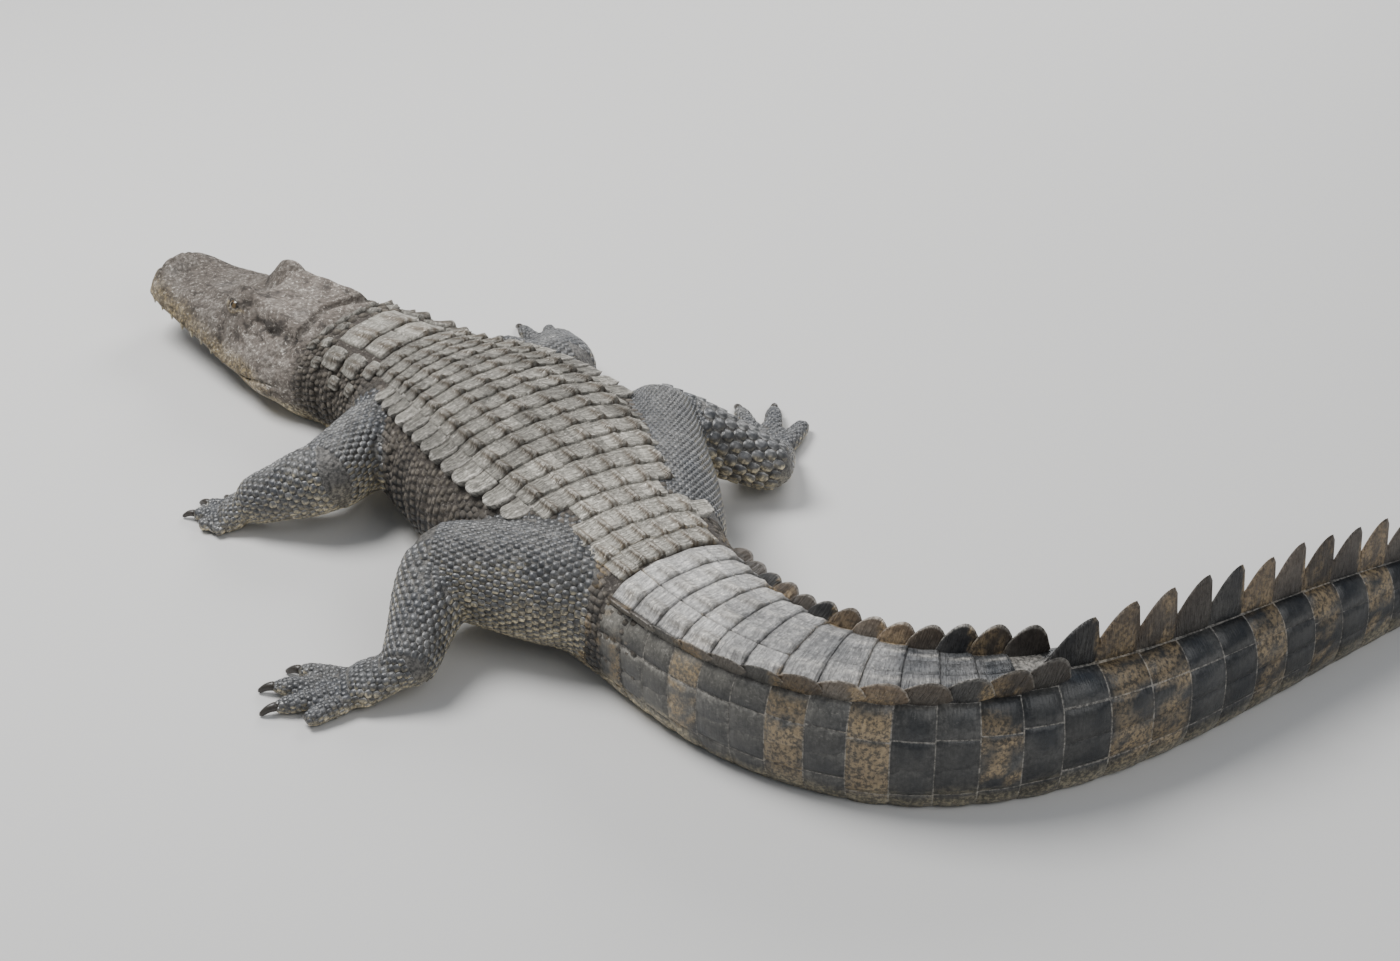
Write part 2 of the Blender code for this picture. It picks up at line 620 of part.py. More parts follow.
def paw(name, kind, wrist, tip, toes, wrist_radius):
    """A hand or foot: a low palm, spread toes with flat soles, and claws on the inner ones."""
    wrist, tip = np.asarray(wrist, float), np.asarray(tip, float)
    length = np.linalg.norm((tip - wrist)[:2])
    middle = math.atan2(*(tip - wrist)[1::-1])
    radius = TOE_RADIUS[kind]
    inner = 1 if name.endswith("left") else -1
    palm_end = wrist + (tip - wrist) * PALM_SHARE
    palm_end[2] = radius * 0.9
    palm = np.linspace(wrist, palm_end, 5)
    widths = np.array([0.7, 1.0, 1.05, 1.15, 0.8]) * wrist_radius
    made = tube(name, palm, widths, 10, 0.62)
    root = wrist + (tip - wrist) * 0.22
    turns = [middle + math.radians(spread) * inner for spread, _ in toes]
    forms = []
    if kind == "foot":
        forms.append(web(root, turns, [share * length * 0.80 for _, share in toes], WEB_DEPTH))
    for number, (spread, share) in enumerate(toes):
        turn = middle + math.radians(spread) * inner
        ahead = np.array([math.cos(turn), math.sin(turn), 0])
        reach = np.linspace(0, 1, 5) * (share * length * 0.80)
        path = root + reach[:, None] * ahead
        heights = (wrist[2] * 0.55, radius * 1.05, radius * 0.72)
        path[:, 2] = np.interp(np.linspace(0, 1, 5), (0, 0.5, 1), heights)
        forms.append(tube("toe", path, radius * np.array([1.0, 1.0, 0.92, 0.86, 0.55]), 7, 0.9))
        if number < CLAWED_TOES:
            size = CLAW_LENGTH[kind]
            bow = np.array([[-0.35, 0.0], [0.25, 0.12], [0.72, -0.06], [1.0, -0.42]]) * size
            claw = path[-1] + bow[:, :1] * ahead + bow[:, 1:] * np.array([0, 0, 1])
            forms.append(tube("claw", claw, np.array([0.40, 0.34, 0.22, 0.05]) * radius, 5, 1.2))
    return combine(made, forms, "UNION")


def limb(kind, side):
    """The three nodes of one limb, each cut to fit round the one before it."""
    joints = [place(*joint) for joint in LIMBS[f"{kind}_{side}"]]
    upper, lower, last = ("upper_arm", "forearm", "hand") if kind == "arm" else ("thigh", "shank", "foot")
    radii = ARM_RADII if kind == "arm" else LEG_RADII
    toes = HAND_TOES if kind == "arm" else FOOT_TOES
    top = capsule(f"{upper}_{side}", joints[0], joints[1], radii[0])
    walls = [torso_solid("wall", GAP)]
    if kind == "arm":
        walls.append(neck_solid("wall", GAP))
    else:
        walls.append(body_length("wall", TORSO_END, 1.0, 0.036, 16, GAP))
    combine(top, walls, "DIFFERENCE")
    middle = capsule(f"{lower}_{side}", joints[1], joints[2], radii[1])
    walls = [capsule("wall", joints[0], joints[1], radii[0], GAP)]
    walls.append(body_length("wall", NECK_END, 1.0, 0.036, 22, GAP))
    combine(middle, walls, "DIFFERENCE")
    end = paw(f"{last}_{side}", last, joints[2], joints[3], toes, radii[1][2])
    combine(end, [capsule("wall", joints[1], joints[2], radii[1], GAP)], "DIFFERENCE")
    return [top, middle, end]


def material(name, colour, roughness):
    made = bpy.data.materials.new(name)
    made.use_nodes = True
    shader = made.node_tree.nodes["Principled BSDF"]
    shader.inputs["Base Color"].default_value = (*colour, 1)
    shader.inputs["Roughness"].default_value = roughness
    shader.inputs["Metallic"].default_value = 0.0
    return made


def finish(nodes):
    """Puts each node in the alligator's collection with smooth shading and its own material."""
    home = collection("american_alligator")
    for node in nodes:
        bpy.context.scene.collection.objects.unlink(node)
        home.objects.link(node)
        kind = next((k for k in COLOURS if node.name.startswith(k)), "limb")
        node.data.materials.clear()
        node.data.materials.append(material(node.name, COLOURS[kind], 0.15 if kind == "eye" else 0.6))
        node.data.shade_smooth()
        node.data.set_sharp_from_angle(angle=math.radians(35))


def main():
    for thing in list(bpy.data.objects):
        bpy.data.objects.remove(thing)
    nodes = head() + lower_jaw() + eyes() + [neck_solid("neck"), torso_solid("torso")] + tail()
    for kind in ("arm", "leg"):
        for side in ("left", "right"):
            nodes += limb(kind, side)
    finish(nodes)


main()
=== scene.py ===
"""A still, life-size american alligator: its skin, scales, scutes, crests, eyes, claws and stage.

Places on the body are given as a station, the distance from the tip of the snout along the spine,
and an angle round the body, counted from the top of the back, positive to the animal's right.
"""

import math

import bmesh
import bpy
import numpy as np
from bpy.props import FloatProperty, FloatVectorProperty, IntProperty, PointerProperty
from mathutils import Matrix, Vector


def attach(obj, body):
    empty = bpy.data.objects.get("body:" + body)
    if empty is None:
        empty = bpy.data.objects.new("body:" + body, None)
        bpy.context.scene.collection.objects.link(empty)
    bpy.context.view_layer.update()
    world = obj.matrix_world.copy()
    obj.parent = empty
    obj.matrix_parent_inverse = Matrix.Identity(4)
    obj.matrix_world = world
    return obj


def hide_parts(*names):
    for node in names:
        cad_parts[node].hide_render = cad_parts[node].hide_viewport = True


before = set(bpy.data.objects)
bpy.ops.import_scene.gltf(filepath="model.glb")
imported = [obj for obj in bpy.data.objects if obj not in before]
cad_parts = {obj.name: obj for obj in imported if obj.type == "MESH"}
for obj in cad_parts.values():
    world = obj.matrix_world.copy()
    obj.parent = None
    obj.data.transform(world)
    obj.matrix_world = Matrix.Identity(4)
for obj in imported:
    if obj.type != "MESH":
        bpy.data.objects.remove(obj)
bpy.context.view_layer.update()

bl_info = {
    "name": "American alligator, still life-size model",
    "version": (1, 0, 0),
    "blender": (4, 5, 0),
    "location": "3D View > Sidebar > Alligator",
    "description": "Skin, scales, scutes, crests, eyes and stage of a resting alligator",
    "category": "Object",
}

SEED = 7

TAIL_END = 1.98
HEAD_LENGTH = 0.262
HEAD_RAISE = 0.125
BELLY_STATION = 0.64
BELLY_SAG = 0.016
TRUNK_START, TRUNK_END, CREST_MERGE = 0.405, 0.895, 1.305

# Station and the direction of the nose-ward spine there, in degrees from -X towards +Y.
BEND = (
    (0.00, 39), (0.27, 39), (0.40, 47), (0.46, 50), (0.65, 57), (0.83, 60), (0.97, 50), (1.07, 33),
    (1.17, 11), (1.27, -11), (1.37, -25), (1.47, -33), (1.57, -35), (1.72, -35), (1.98, -36),
)

# Station, half width, height of the back, height of the widest place, squareness of the section.
BODY = (
    (0.262, 0.087, 0.102, 0.042, 2.7), (0.30, 0.081, 0.108, 0.047, 2.3),
    (0.36, 0.082, 0.114, 0.050, 2.2), (0.42, 0.096, 0.121, 0.054, 2.2),
    (0.50, 0.119, 0.138, 0.058, 2.3), (0.58, 0.131, 0.148, 0.060, 2.4),
    (0.66, 0.134, 0.150, 0.060, 2.4), (0.74, 0.120, 0.145, 0.060, 2.4),
    (0.82, 0.101, 0.137, 0.060, 2.4), (0.90, 0.083, 0.131, 0.059, 2.6),
    (1.00, 0.072, 0.127, 0.057, 2.8), (1.15, 0.060, 0.123, 0.055, 2.9),
    (1.33, 0.047, 0.116, 0.051, 2.6), (1.50, 0.036, 0.106, 0.047, 2.3),
    (1.65, 0.028, 0.090, 0.041, 2.1), (1.80, 0.019, 0.064, 0.030, 2.0),
    (1.92, 0.010, 0.036, 0.017, 2.0), (1.98, 0.004, 0.014, 0.006, 2.0),
)

# Distance from the tip of the snout, half width, height of the top, height of the lip.
SKULL = (
    (0.000, 0.018, 0.037, 0.0190), (0.005, 0.030, 0.043, 0.0195), (0.014, 0.041, 0.049, 0.0205),
    (0.028, 0.0480, 0.0515, 0.0220), (0.048, 0.0512, 0.0510, 0.0205), (0.075, 0.0560, 0.0535, 0.0190),
    (0.105, 0.0625, 0.0595, 0.0220), (0.130, 0.0685, 0.0685, 0.0230), (0.155, 0.0740, 0.0790, 0.0205),
    (0.180, 0.078, 0.088, 0.0220), (0.210, 0.085, 0.095, 0.0300), (0.236, 0.089, 0.098, 0.0400),
    (0.262, 0.087, 0.099, 0.0420),
)
TABLE_START = 0.172
TABLE_HALF = (0.036, 0.051)
TABLE_TOP = 0.102
EYE = (0.164, 0.0440, 0.0800)
EYE_RADIUS = 0.0105
NOSTRIL = (0.020, 0.0120)
EAR = ((0.196, 0.0520, 0.0870), (0.234, 0.0585, 0.0865))

# Joints of each limb as station, sideways distance and height, from hip or shoulder to the toes.
LIMBS = {
    "arm_left": (
        (0.455, -0.070, 0.062), (0.488, -0.172, 0.062), (0.425, -0.232, 0.030), (0.355, -0.272, 0.0)),
    "arm_right": (
        (0.455, 0.070, 0.058), (0.466, 0.148, 0.052), (0.402, 0.196, 0.028), (0.330, 0.222, 0.0)),
    "leg_left": (
        (0.835, -0.045, 0.068), (0.735, -0.165, 0.076), (0.815, -0.238, 0.036), (0.764, -0.356, 0.0)),
    "leg_right": (
        (0.800, 0.050, 0.070), (0.628, 0.142, 0.084), (0.702, 0.240, 0.036), (0.582, 0.312, 0.0)),
}
ARM_RADII = ((0.044, 0.041, 0.037), (0.036, 0.031, 0.023))
LEG_RADII = ((0.064, 0.056, 0.042), (0.038, 0.033, 0.025))
# Spread in degrees and share of the paw's length of each toe, from the inner one.
TOES = {
    "hand": ((-52, 0.74), (-26, 0.92), (0, 1.0), (26, 0.90), (52, 0.70)),
    "foot": ((-27, 0.84), (-9, 1.0), (9, 0.98), (29, 0.80)),
}
CLAWED_TOES = 3
TOE_RADIUS = {"hand": 0.0086, "foot": 0.0108}
CLAW_LENGTH = {"hand": 0.013, "foot": 0.016}
PALM_SHARE = 0.46
# Heights of the web's two faces, the voxel of the limbs' remesh, and the passes that soften the joins.
WEB_HEIGHTS = (0.0015, 0.0070)
LIMB_VOXEL = 0.0037
JOIN_PASSES = 40

# Size of the scales of the upper part, the lower part and the paw of each limb.
LIMB_SCALES = {
    "arm_left": (0.0082, 0.0085, 0.0072), "arm_right": (0.0082, 0.0085, 0.0072),
    "leg_left": (0.0074, 0.0086, 0.0078), "leg_right": (0.0058, 0.0150, 0.0078),
}
TOE_SCALE = 0.0078
TEETH = (0.024, 0.040, 0.058, 0.078, 0.098, 0.118, 0.138)

# Share of the half width out and share of the keel's height of the trunk's columns of scutes.
SCUTE_COLUMNS = (0.115, 0.345, 0.570, 0.755)
SCUTE_KEELS = (0.72, 0.85, 1.0, 0.25)
OUTER_COLUMN = 3

# Station, share of the half width out, length, width and keel of the plates of skull and nape.
NAPE = (
    (0.293, 0.15, 0.016, 0.018, 0.0024), (0.291, 0.42, 0.015, 0.017, 0.0028),
    (0.293, 0.68, 0.014, 0.014, 0.0034), (0.308, 0.28, 0.014, 0.015, 0.0020),
    (0.309, 0.60, 0.014, 0.014, 0.0030), (0.3400, 0.270, 0.042, 0.0425, 0.0034),
    (0.334, 0.735, 0.032, 0.029, 0.0052), (0.3810, 0.262, 0.038, 0.0425, 0.0034),
    (0.370, 0.715, 0.033, 0.030, 0.0052), (0.352, 0.92, 0.018, 0.016, 0.0040),
    (0.4010, 0.640, 0.022, 0.024, 0.0040), (0.386, 0.90, 0.017, 0.015, 0.0040),
    (0.312, 0.84, 0.015, 0.014, 0.0036),
)

COLOURS = ("Dark", "Mud", "Tan", "Cream", "Jaw", "Rim", "Keel")
RELIEF = ("Pebbles", "Pebble Scale", "Fibres", "Grain")
PLATE_RELIEF = (0.10, 420.0, 1.0, 0.35)

# Side of a grid's patch on the bake map, and how many points are compared at a time.
MAP_CELL = 0.0015
BLOCK = 20000
NEAREST_BLOCK = 1500

# Half the floor's side, its height just under the body, and name, place, size and share of each light.
FLOOR_HALF, FLOOR_HEIGHT = 9.0, -0.0004
LIGHTS = (
    ("key", (-1.3, 0.6, 2.6), 1.6, 1.0), ("fill", (1.6, -1.6, 2.2), 2.2, 0.22),
    ("rear", (1.0, 2.2, 1.6), 1.4, 0.35),
)
# The camera's place, how many degrees it looks down, its lens and its sensor in millimetres.
CAMERA_PLACE = (0.1601, -2.3882, 1.6776)
CAMERA_DOWN = 34
CAMERA_LENS, SENSOR_WIDTH = 72.257, 36

made = {}


def curve(table, at):
    """Smooth values between the rows of a table: cubic Hermite with centred slopes."""
    rows = np.array(table, float)
    spot, values = rows[:, 0], rows[:, 1:]
    slope = np.gradient(values, spot, axis=0)
    at = np.clip(np.asarray(at, float), spot[0], spot[-1])
    i = np.clip(np.searchsorted(spot, at, side="right") - 1, 0, len(spot) - 2)
    step = spot[i + 1] - spot[i]
    t = ((at - spot[i]) / step)[..., None]
    step = step[..., None]
    return (
        values[i] * (1 + 2 * t) * (1 - t) ** 2
        + slope[i] * step * t * (1 - t) ** 2
        + values[i + 1] * t**2 * (3 - 2 * t)
        + slope[i + 1] * step * t**2 * (t - 1)
    )


def ease(low, high, value):
    """Zero below low, one above high, with an S curve between."""
    t = np.clip((np.asarray(value, float) - low) / (high - low), 0, 1)
    return t * t * (3 - 2 * t)


def bell(value, middle, width):
    """A Gaussian of height one."""
    return np.exp(-(((value - middle) / width) ** 2))


LATTICE = np.random.default_rng(SEED).random(4096)
MIXING_PRIMES = np.array([73856093, 19349663, 83492791])


def noise(points, size, shift=0):
    """Smooth value noise from -1 to 1 on a lattice of the given size, blended over each cell's corners."""
    scaled = np.asarray(points, float) / size + 57.3 + shift * 11.7
    cell = np.floor(scaled).astype(np.int64)
    t = scaled - cell
    t = t * t * (3 - 2 * t)
    total = np.zeros(scaled.shape[:-1])
    for corner in range(8):
        bits = np.array([corner & 1, corner >> 1 & 1, corner >> 2 & 1])
        mixed = (cell + bits) * MIXING_PRIMES
        index = (mixed[..., 0] ^ mixed[..., 1] ^ mixed[..., 2]) & len(LATTICE) - 1
        total += np.where(bits == 1, t, 1 - t).prod(axis=-1) * LATTICE[index]
    return 2 * total - 1


def laid_spine():
    """Stations with the spine's heading and place on the floor, summed from the bend table."""
    station = np.linspace(0, TAIL_END, 991)
    heading = np.radians(curve(BEND, station)[:, 0])
    step = np.diff(station, prepend=station[0])
    x = np.cumsum(np.cos(heading) * step)
    y = np.cumsum(-np.sin(heading) * step)
    middle = np.searchsorted(station, BELLY_STATION)
    return station, heading, x - x[middle], y - y[middle]


SPINE = laid_spine()


def place(station, side, height):
    """World points from stations, sideways distances and heights."""
    station, side, height = np.broadcast_arrays(station, side, height)
    heading = np.interp(station, SPINE[0], SPINE[1])
    x = np.interp(station, SPINE[0], SPINE[2]) + side * np.sin(heading)
    y = np.interp(station, SPINE[0], SPINE[3]) + side * np.cos(heading)
    return np.stack([x, y, height], axis=-1)


def raise_at(along):
    """How far the head is sheared up towards the snout, easing out at the neck."""
    return HEAD_RAISE * 0.012 * np.logaddexp(0, (HEAD_LENGTH - np.asarray(along)) / 0.012)


def on_head(along, side, height):
    """World points of the head."""
    return place(along, side, height + raise_at(along))


def body_places(points):
    """Station and sideways distance of world points, from the nearest sample of the spine."""
    line = np.stack([SPINE[2], SPINE[3]], axis=-1)[::3]
    found = np.empty(len(points), int)
    for start in range(0, len(points), BLOCK):
        part = points[start:start + BLOCK, :2]
        gap = (part[:, None, 0] - line[None, :, 0]) ** 2 + (part[:, None, 1] - line[None, :, 1]) ** 2
        found[start:start + BLOCK] = gap.argmin(axis=1)
    station, heading = SPINE[0][::3][found], SPINE[1][::3][found]
    away = points[:, :2] - line[found]
    station = station + away[:, 0] * np.cos(heading) - away[:, 1] * np.sin(heading)
    return station, away[:, 0] * np.sin(heading) + away[:, 1] * np.cos(heading)


def section(station, angle):
    """Sideways distance and height of the body's surface, a superellipse flattened by the floor."""
    half, top, waist, square = np.moveaxis(curve(BODY, station), -1, 0)
    rise = np.abs(np.cos(angle)) ** (2 / square)
    side = half * np.sign(np.sin(angle)) * np.abs(np.sin(angle)) ** (2 / square)
    height = np.where(np.cos(angle) >= 0, waist + rise * (top - waist), waist - rise * (waist + BELLY_SAG))
    return side, height


def folds(station, angle):
    """Loose skin: soft waves that run down the neck and flanks, and a hollow behind the skull."""
    around = np.abs(angle)
    flank = bell(around, 1.55, 0.42) * ease(0.42, 0.52, station) * ease(0.86, 0.76, station)
    neck = bell(around, 1.50, 0.50) * ease(0.27, 0.30, station) * ease(0.46, 0.42, station)
    wave = np.sin(station * 2 * math.pi / 0.031 + 1.5 * np.sin(angle * 3) + 0.8 * np.sin(station * 60))
    hollow = -0.0105 * bell(station, 0.279, 0.010) * bell(around, 0.0, 0.9)
    return 0.0022 * wave * flank + 0.0018 * wave * neck + hollow


def skin(station, angle, lift=0.0):
    """World points at a lift above the body's surface, along its outward direction."""
    station, angle, lift = np.broadcast_arrays(station, angle, lift)
    side, height = section(station, angle)
    ahead, behind = section(station, angle + 0.02), section(station, angle - 0.02)
    across, down = ahead[0] - behind[0], ahead[1] - behind[1]
    length = np.maximum(np.hypot(across, down), 1e-9)
    lift = lift + folds(station, angle)
    side, height = side - lift * down / length, height + lift * across / length
    return place(station, side, np.maximum(height, 0.0))


def arc_per_turn(station, angle):
    """Length along the section for each radian of angle."""
    ahead, behind = section(station, angle + 0.01), section(station, angle - 0.01)
    return np.hypot(ahead[0] - behind[0], ahead[1] - behind[1]) / 0.02


def angle_at(station, share):
    """Angle from the top of the back to where the surface is a share of the half width out."""
    square = curve(BODY, station)[..., 3]
    return np.sign(share) * np.arcsin(np.abs(share) ** (square / 2))


def skull_height(along, side):
    """Height of the top of the head: a vaulted snout, with orbits, ridges and a flat skull table added."""
    half, top, lip = np.moveaxis(curve(SKULL, along), -1, 0)
    blend = np.clip((along - 0.10) / 0.06, 0, 1)
    square = 2.7 - 0.8 * blend
    share = np.clip(np.abs(side) / half, 0, 1)
    vault = (1 - share**square) ** (1 / square)
    height = lip + (top - lip) * vault
    out = np.abs(side)
    inner = ease(0.02, 0.35, vault)
    # Disc round the nostrils with the crescent openings in it, and the dip behind it.
    height = height + 0.0060 * np.exp(-(((along - 0.021) / 0.013) ** 2) - (side / 0.019) ** 2)
    height = height - 0.0022 * bell(along, 0.046, 0.010) * bell(side, 0, 0.020)
    # A blunt rim along each side of the snout, two ridges from snout to orbit, and the dip between them.
    rim = half * (0.80 - 0.10 * blend)
    height = height + 0.0018 * bell(out, rim, 0.006) * ease(0.03, 0.06, along) * ease(0.15, 0.12, along)
    ridge = 0.012 + 0.19 * np.clip(along - 0.05, 0, 0.10)
    height = height + 0.0042 * bell(along, 0.118, 0.028) * bell(out, ridge, 0.0065)
    height = height - 0.0030 * bell(along, 0.135, 0.022) * bell(side, 0, 0.012)
    # The crease in front of each orbit, the orbit, and the hollow between the orbits.
    crease = np.hypot((along - EYE[0] - 0.004) / 1.25, out - EYE[1] + 0.010)
    before = ease(EYE[0] + 0.004, EYE[0] - 0.012, along)
    height = height - 0.0036 * bell(crease, 0.0285, 0.0030) * before * inner
    orbit = ((along - EYE[0] - 0.001) / 0.0235) ** 2 + ((out - EYE[1] + 0.0045) / 0.0170) ** 2
    height = height + 0.0300 * np.exp(-(orbit**1.35))
    height = height - 0.0050 * bell(along, EYE[0] + 0.002, 0.022) * bell(side, 0, 0.012)
    # Skull table: flat, with a raised edge, steep sides, and a back edge drawn in at the middle.
    run, edge = table_edge(along)
    start = ease(TABLE_START - 0.004, TABLE_START + 0.016, along)
    table = TABLE_TOP - 0.004 * (1 - run)
    table = table + 0.0016 * bell(out, edge - 0.004, 0.0045) - 0.0012 * bell(side, 0, 0.020)
    edge = edge + 0.0016 * np.sin(along * 210)
    table = table - 0.0052 * np.logaddexp(0, (out - edge) / 0.0026)
    back = HEAD_LENGTH - 0.002 - 0.012 * bell(side, 0, 0.026)
    table = table - 0.012 * ease(back, back + 0.010, along) * ease(0, 0.004, edge + 0.004 - out)
    return np.maximum(height, height + (table - height) * start)


def table_edge(along):
    """How far along the skull table a place is, from zero to one, and the table's half width there."""
    run = np.clip((along - TABLE_START) / (HEAD_LENGTH - TABLE_START), 0, 1)
    return run, TABLE_HALF[0] + (TABLE_HALF[1] - TABLE_HALF[0]) * run**0.6


def head_ring(along, angle):
    """One ring of the head: the skull above the lips, the mouth's groove, and a boxy lower jaw below."""
    half, _, lip = np.moveaxis(curve(SKULL, along), -1, 0)
    sign, around = np.sign(angle), np.abs(angle)
    upper_side = half * np.sin(np.minimum(around, math.pi / 2))
    upper = skull_height(along, upper_side)
    festoon = 0.0008 * np.cos(along * 2 * math.pi / 0.0135) * ease(0.20, 0.16, along)
    roll = (0.0016 + festoon) * bell(around, 1.47, 0.07)
    droop = ease(1.40, 1.57, around)
    upper_side = upper_side + roll
    inset = 0.0040 - 0.0075 * ease(0.17, 0.235, along)
    turned = np.clip(around - math.pi / 2, 0, math.pi / 2)
    under = 0.005 * np.exp(-along / 0.02)
    square = 2.6
    lower_side = (half - inset) * np.cos(turned) ** (2 / square)
    lower = lip - (lip - under) * np.sin(turned) ** (2 / square)
    groove = 0.0038 * bell(around, math.pi / 2 + 0.012, 0.030) * ease(0.258, 0.240, along)
    side = np.where(around <= math.pi / 2, upper_side, lower_side) - groove
    height = np.where(around <= math.pi / 2, upper, lower) - 0.0012 * droop * (around <= math.pi / 2)
    return sign * side, height


def ring_angles(count):
    """Angles round the body, closer together at the orbits and along the mouth."""
    fine = np.linspace(-math.pi, math.pi, 4001)
    weight = 1 + 1.9 * bell(np.abs(fine), 0.72, 0.26) + 2.4 * bell(np.abs(fine), 1.58, 0.07)
    weight *= 1 - 0.45 * ease(2.0, 2.4, np.abs(fine))
    total = np.concatenate([[0], np.cumsum((weight[1:] + weight[:-1]) / 2)])
    return np.interp(np.arange(count) / count * total[-1], total, fine)


def ring_stations():
    """Stations of the rings: a millimetre apart at the nostrils and eyes, and wider over the body."""
    parts = [np.arange(0.0, 0.035, 0.0010), np.arange(0.035, 0.136, 0.0015), np.arange(0.136, 0.194, 0.0010)]
    parts += [np.arange(0.194, 0.30, 0.0016), np.arange(0.30, TAIL_END, 0.0105), [TAIL_END]]
    return np.concatenate(parts)


def eye_frame(sign):
    """Centre of an eye and its axes: nose-ward, up along the lid's plane, and outward."""
    centre = on_head(EYE[0], sign * EYE[1], EYE[2])
    heading = np.radians(BEND[0][1])
    ahead = np.array([-math.cos(heading), math.sin(heading), 0.125])
    ahead /= np.linalg.norm(ahead)
    right = np.array([math.sin(heading), math.cos(heading), 0.0]) * sign
    gaze = 0.86 * right + 0.46 * np.array([0, 0, 1.0]) + 0.20 * ahead
    gaze /= np.linalg.norm(gaze)
    ahead = ahead - gaze * (ahead @ gaze)
    ahead /= np.linalg.norm(ahead)
    up = np.cross(ahead, gaze) * -sign
    return centre, ahead, up, gaze


def open_lids(points):
    """Skin near each eye laid over a ball as lids, and sunk behind the eye inside an almond opening."""
    for sign in (-1, 1):
        centre, ahead, up, gaze = eye_frame(sign)
        away = points - centre
        reach = np.linalg.norm(away, axis=-1)
        near = reach < 0.030
        unit = away[near] / reach[near][:, None]
        outward_share = unit @ gaze
        level, tall = np.arctan2(unit @ ahead, outward_share), np.arctan2(unit @ up, outward_share)
        lid = 0.0121 + 0.0022 * ease(0.1, 0.8, tall) + 0.0006 * bell(tall, -0.62, 0.16)
        weight = ease(1.45, 0.85, np.arccos(np.clip(outward_share, -1, 1)))
        radius = reach[near] + (lid - reach[near]) * weight
        almond = (level / 0.80) ** 2 + ((tall - 0.10 + 0.10 * level) / 0.44) ** 2
        inside = ease(1.30, 0.95, almond) * (outward_share > 0)
        radius = radius + (0.0088 - radius) * inside
        points[near] = centre + unit * radius[:, None]


def lid_masks(points):
    """Masks of the dark edges of the lids and of the yellowish skin of the lower lid."""
    edge, lower = np.zeros(len(points)), np.zeros(len(points))
    for sign in (-1, 1):
        centre, ahead, up, gaze = eye_frame(sign)
        away = points - centre
        reach = np.linalg.norm(away, axis=-1)
        unit = away / np.maximum(reach, 1e-9)[:, None]
        level, tall = np.arctan2(unit @ ahead, unit @ gaze), np.arctan2(unit @ up, unit @ gaze)
        almond = np.hypot(level / 0.80, (tall - 0.10 + 0.10 * level) / 0.44)
        near = ease(0.020, 0.015, reach)
        edge = np.maximum(edge, 0.85 * bell(almond, 1.05, 0.22) * near)
        under = 0.75 * ease(1.1, 1.35, almond) * ease(2.6, 2.0, almond) * near * (tall < 0.1)
        lower = np.maximum(lower, under)
    return edge, lower


def body_mesh():
    """Rings of the whole body from snout to tail tip, with the head's rings blended into the neck's."""
    station = ring_stations()[:, None]
    angle = ring_angles(160)[None, :]
    station_grid, angle_grid = np.broadcast_arrays(station, angle)
    body = skin(station_grid, angle_grid)
    side, height = head_ring(station_grid, angle_grid)
    head = np.maximum(on_head(station_grid, side, height), [-9, -9, 0.0])
    share = ease(0.250, 0.285, station)[..., None]
    points = head * (1 - share) + body * share
    normal = grid_normals(points)
    rough = ease(0.31, 0.25, station_grid) * ease(1.62, 1.30, np.abs(angle_grid))
    rough = rough * (1 - 0.35 * ease(0.175, 0.190, station_grid))
    relief = rugose(points)
    creases = head_creases(station_grid, side, points[..., 2] - raise_at(station_grid), np.abs(angle_grid))
    ear = ear_relief(station_grid, points[..., 2] - raise_at(station_grid), np.abs(angle_grid))
    nostril = nostril_relief(station_grid, side)
    points = points + normal * (rough * relief + creases + ear + nostril)[..., None]
    open_lids(points)
    points[..., 2] = np.maximum(points[..., 2], 0)
    return points


def rugose(points):
    """The rough bone under the head's skin: a broad noise, and folded ones that leave a net of grooves."""
    folded = np.abs(noise(points, 0.0085, 1)) + 0.7 * np.abs(noise(points, 0.0050, 2))
    return 0.0007 * noise(points, 0.0120) + 0.0016 * np.minimum(folded, 0.45) - 0.0005


def head_creases(along, side, height, around):
    """Folds of skin: three behind the eye, two before it, and a ring round the nostrils."""
    total = np.zeros(along.shape)
    behind = ease(0.180, 0.196, along) * ease(0.290, 0.262, along) * (around < 1.5)
    for number, level in enumerate((0.070, 0.056, 0.043)):
        wavy = level + 0.0030 * np.sin(along * 95 + 2 * number) + 0.10 * (along - 0.22)
        total -= 0.0021 * bell(height, wavy, 0.0017) * behind
    before = ease(0.085, 0.110, along) * ease(0.156, 0.148, along) * (around < 1.5)
    for number, level in enumerate((0.066, 0.053)):
        total -= 0.0013 * bell(height, level - 0.28 * (0.155 - along), 0.0015) * before
    total -= 0.0014 * bell(np.hypot(along - 0.021, side), 0.0225, 0.0018) * (around < 1.2)
    return total - 0.0034 * table_groove(along, side) * (around < 1.5)


def table_groove(along, side):
    """Where the groove runs that bounds the skull table behind and beside it."""
    _, edge = table_edge(along)
    out = np.abs(side)
    back = HEAD_LENGTH + 0.004 - 0.012 * bell(side, 0, 0.026)
    behind = bell(along, back, 0.0034) * ease(edge + 0.012, edge + 0.002, out)
    beside = bell(out, edge + 0.0065, 0.0028) * ease(0.198, 0.210, along)
    return np.maximum(behind, beside * ease(back + 0.002, back - 0.004, along))


def ear_relief(along, height, around):
    """The ear flap: a long lip under the edge of the skull table, with a slit below it."""
    middle = np.interp(along, [EAR[0][0], EAR[1][0]], [EAR[0][2], EAR[1][2]])
    window = ease(EAR[0][0] - 0.004, EAR[0][0] + 0.006, along)
    window = window * ease(EAR[1][0] + 0.004, EAR[1][0] - 0.006, along) * (around > 0.4) * (around < 1.4)
    return window * (0.0022 * bell(height, middle, 0.0030) - 0.0034 * bell(height, middle - 0.0062, 0.0020))


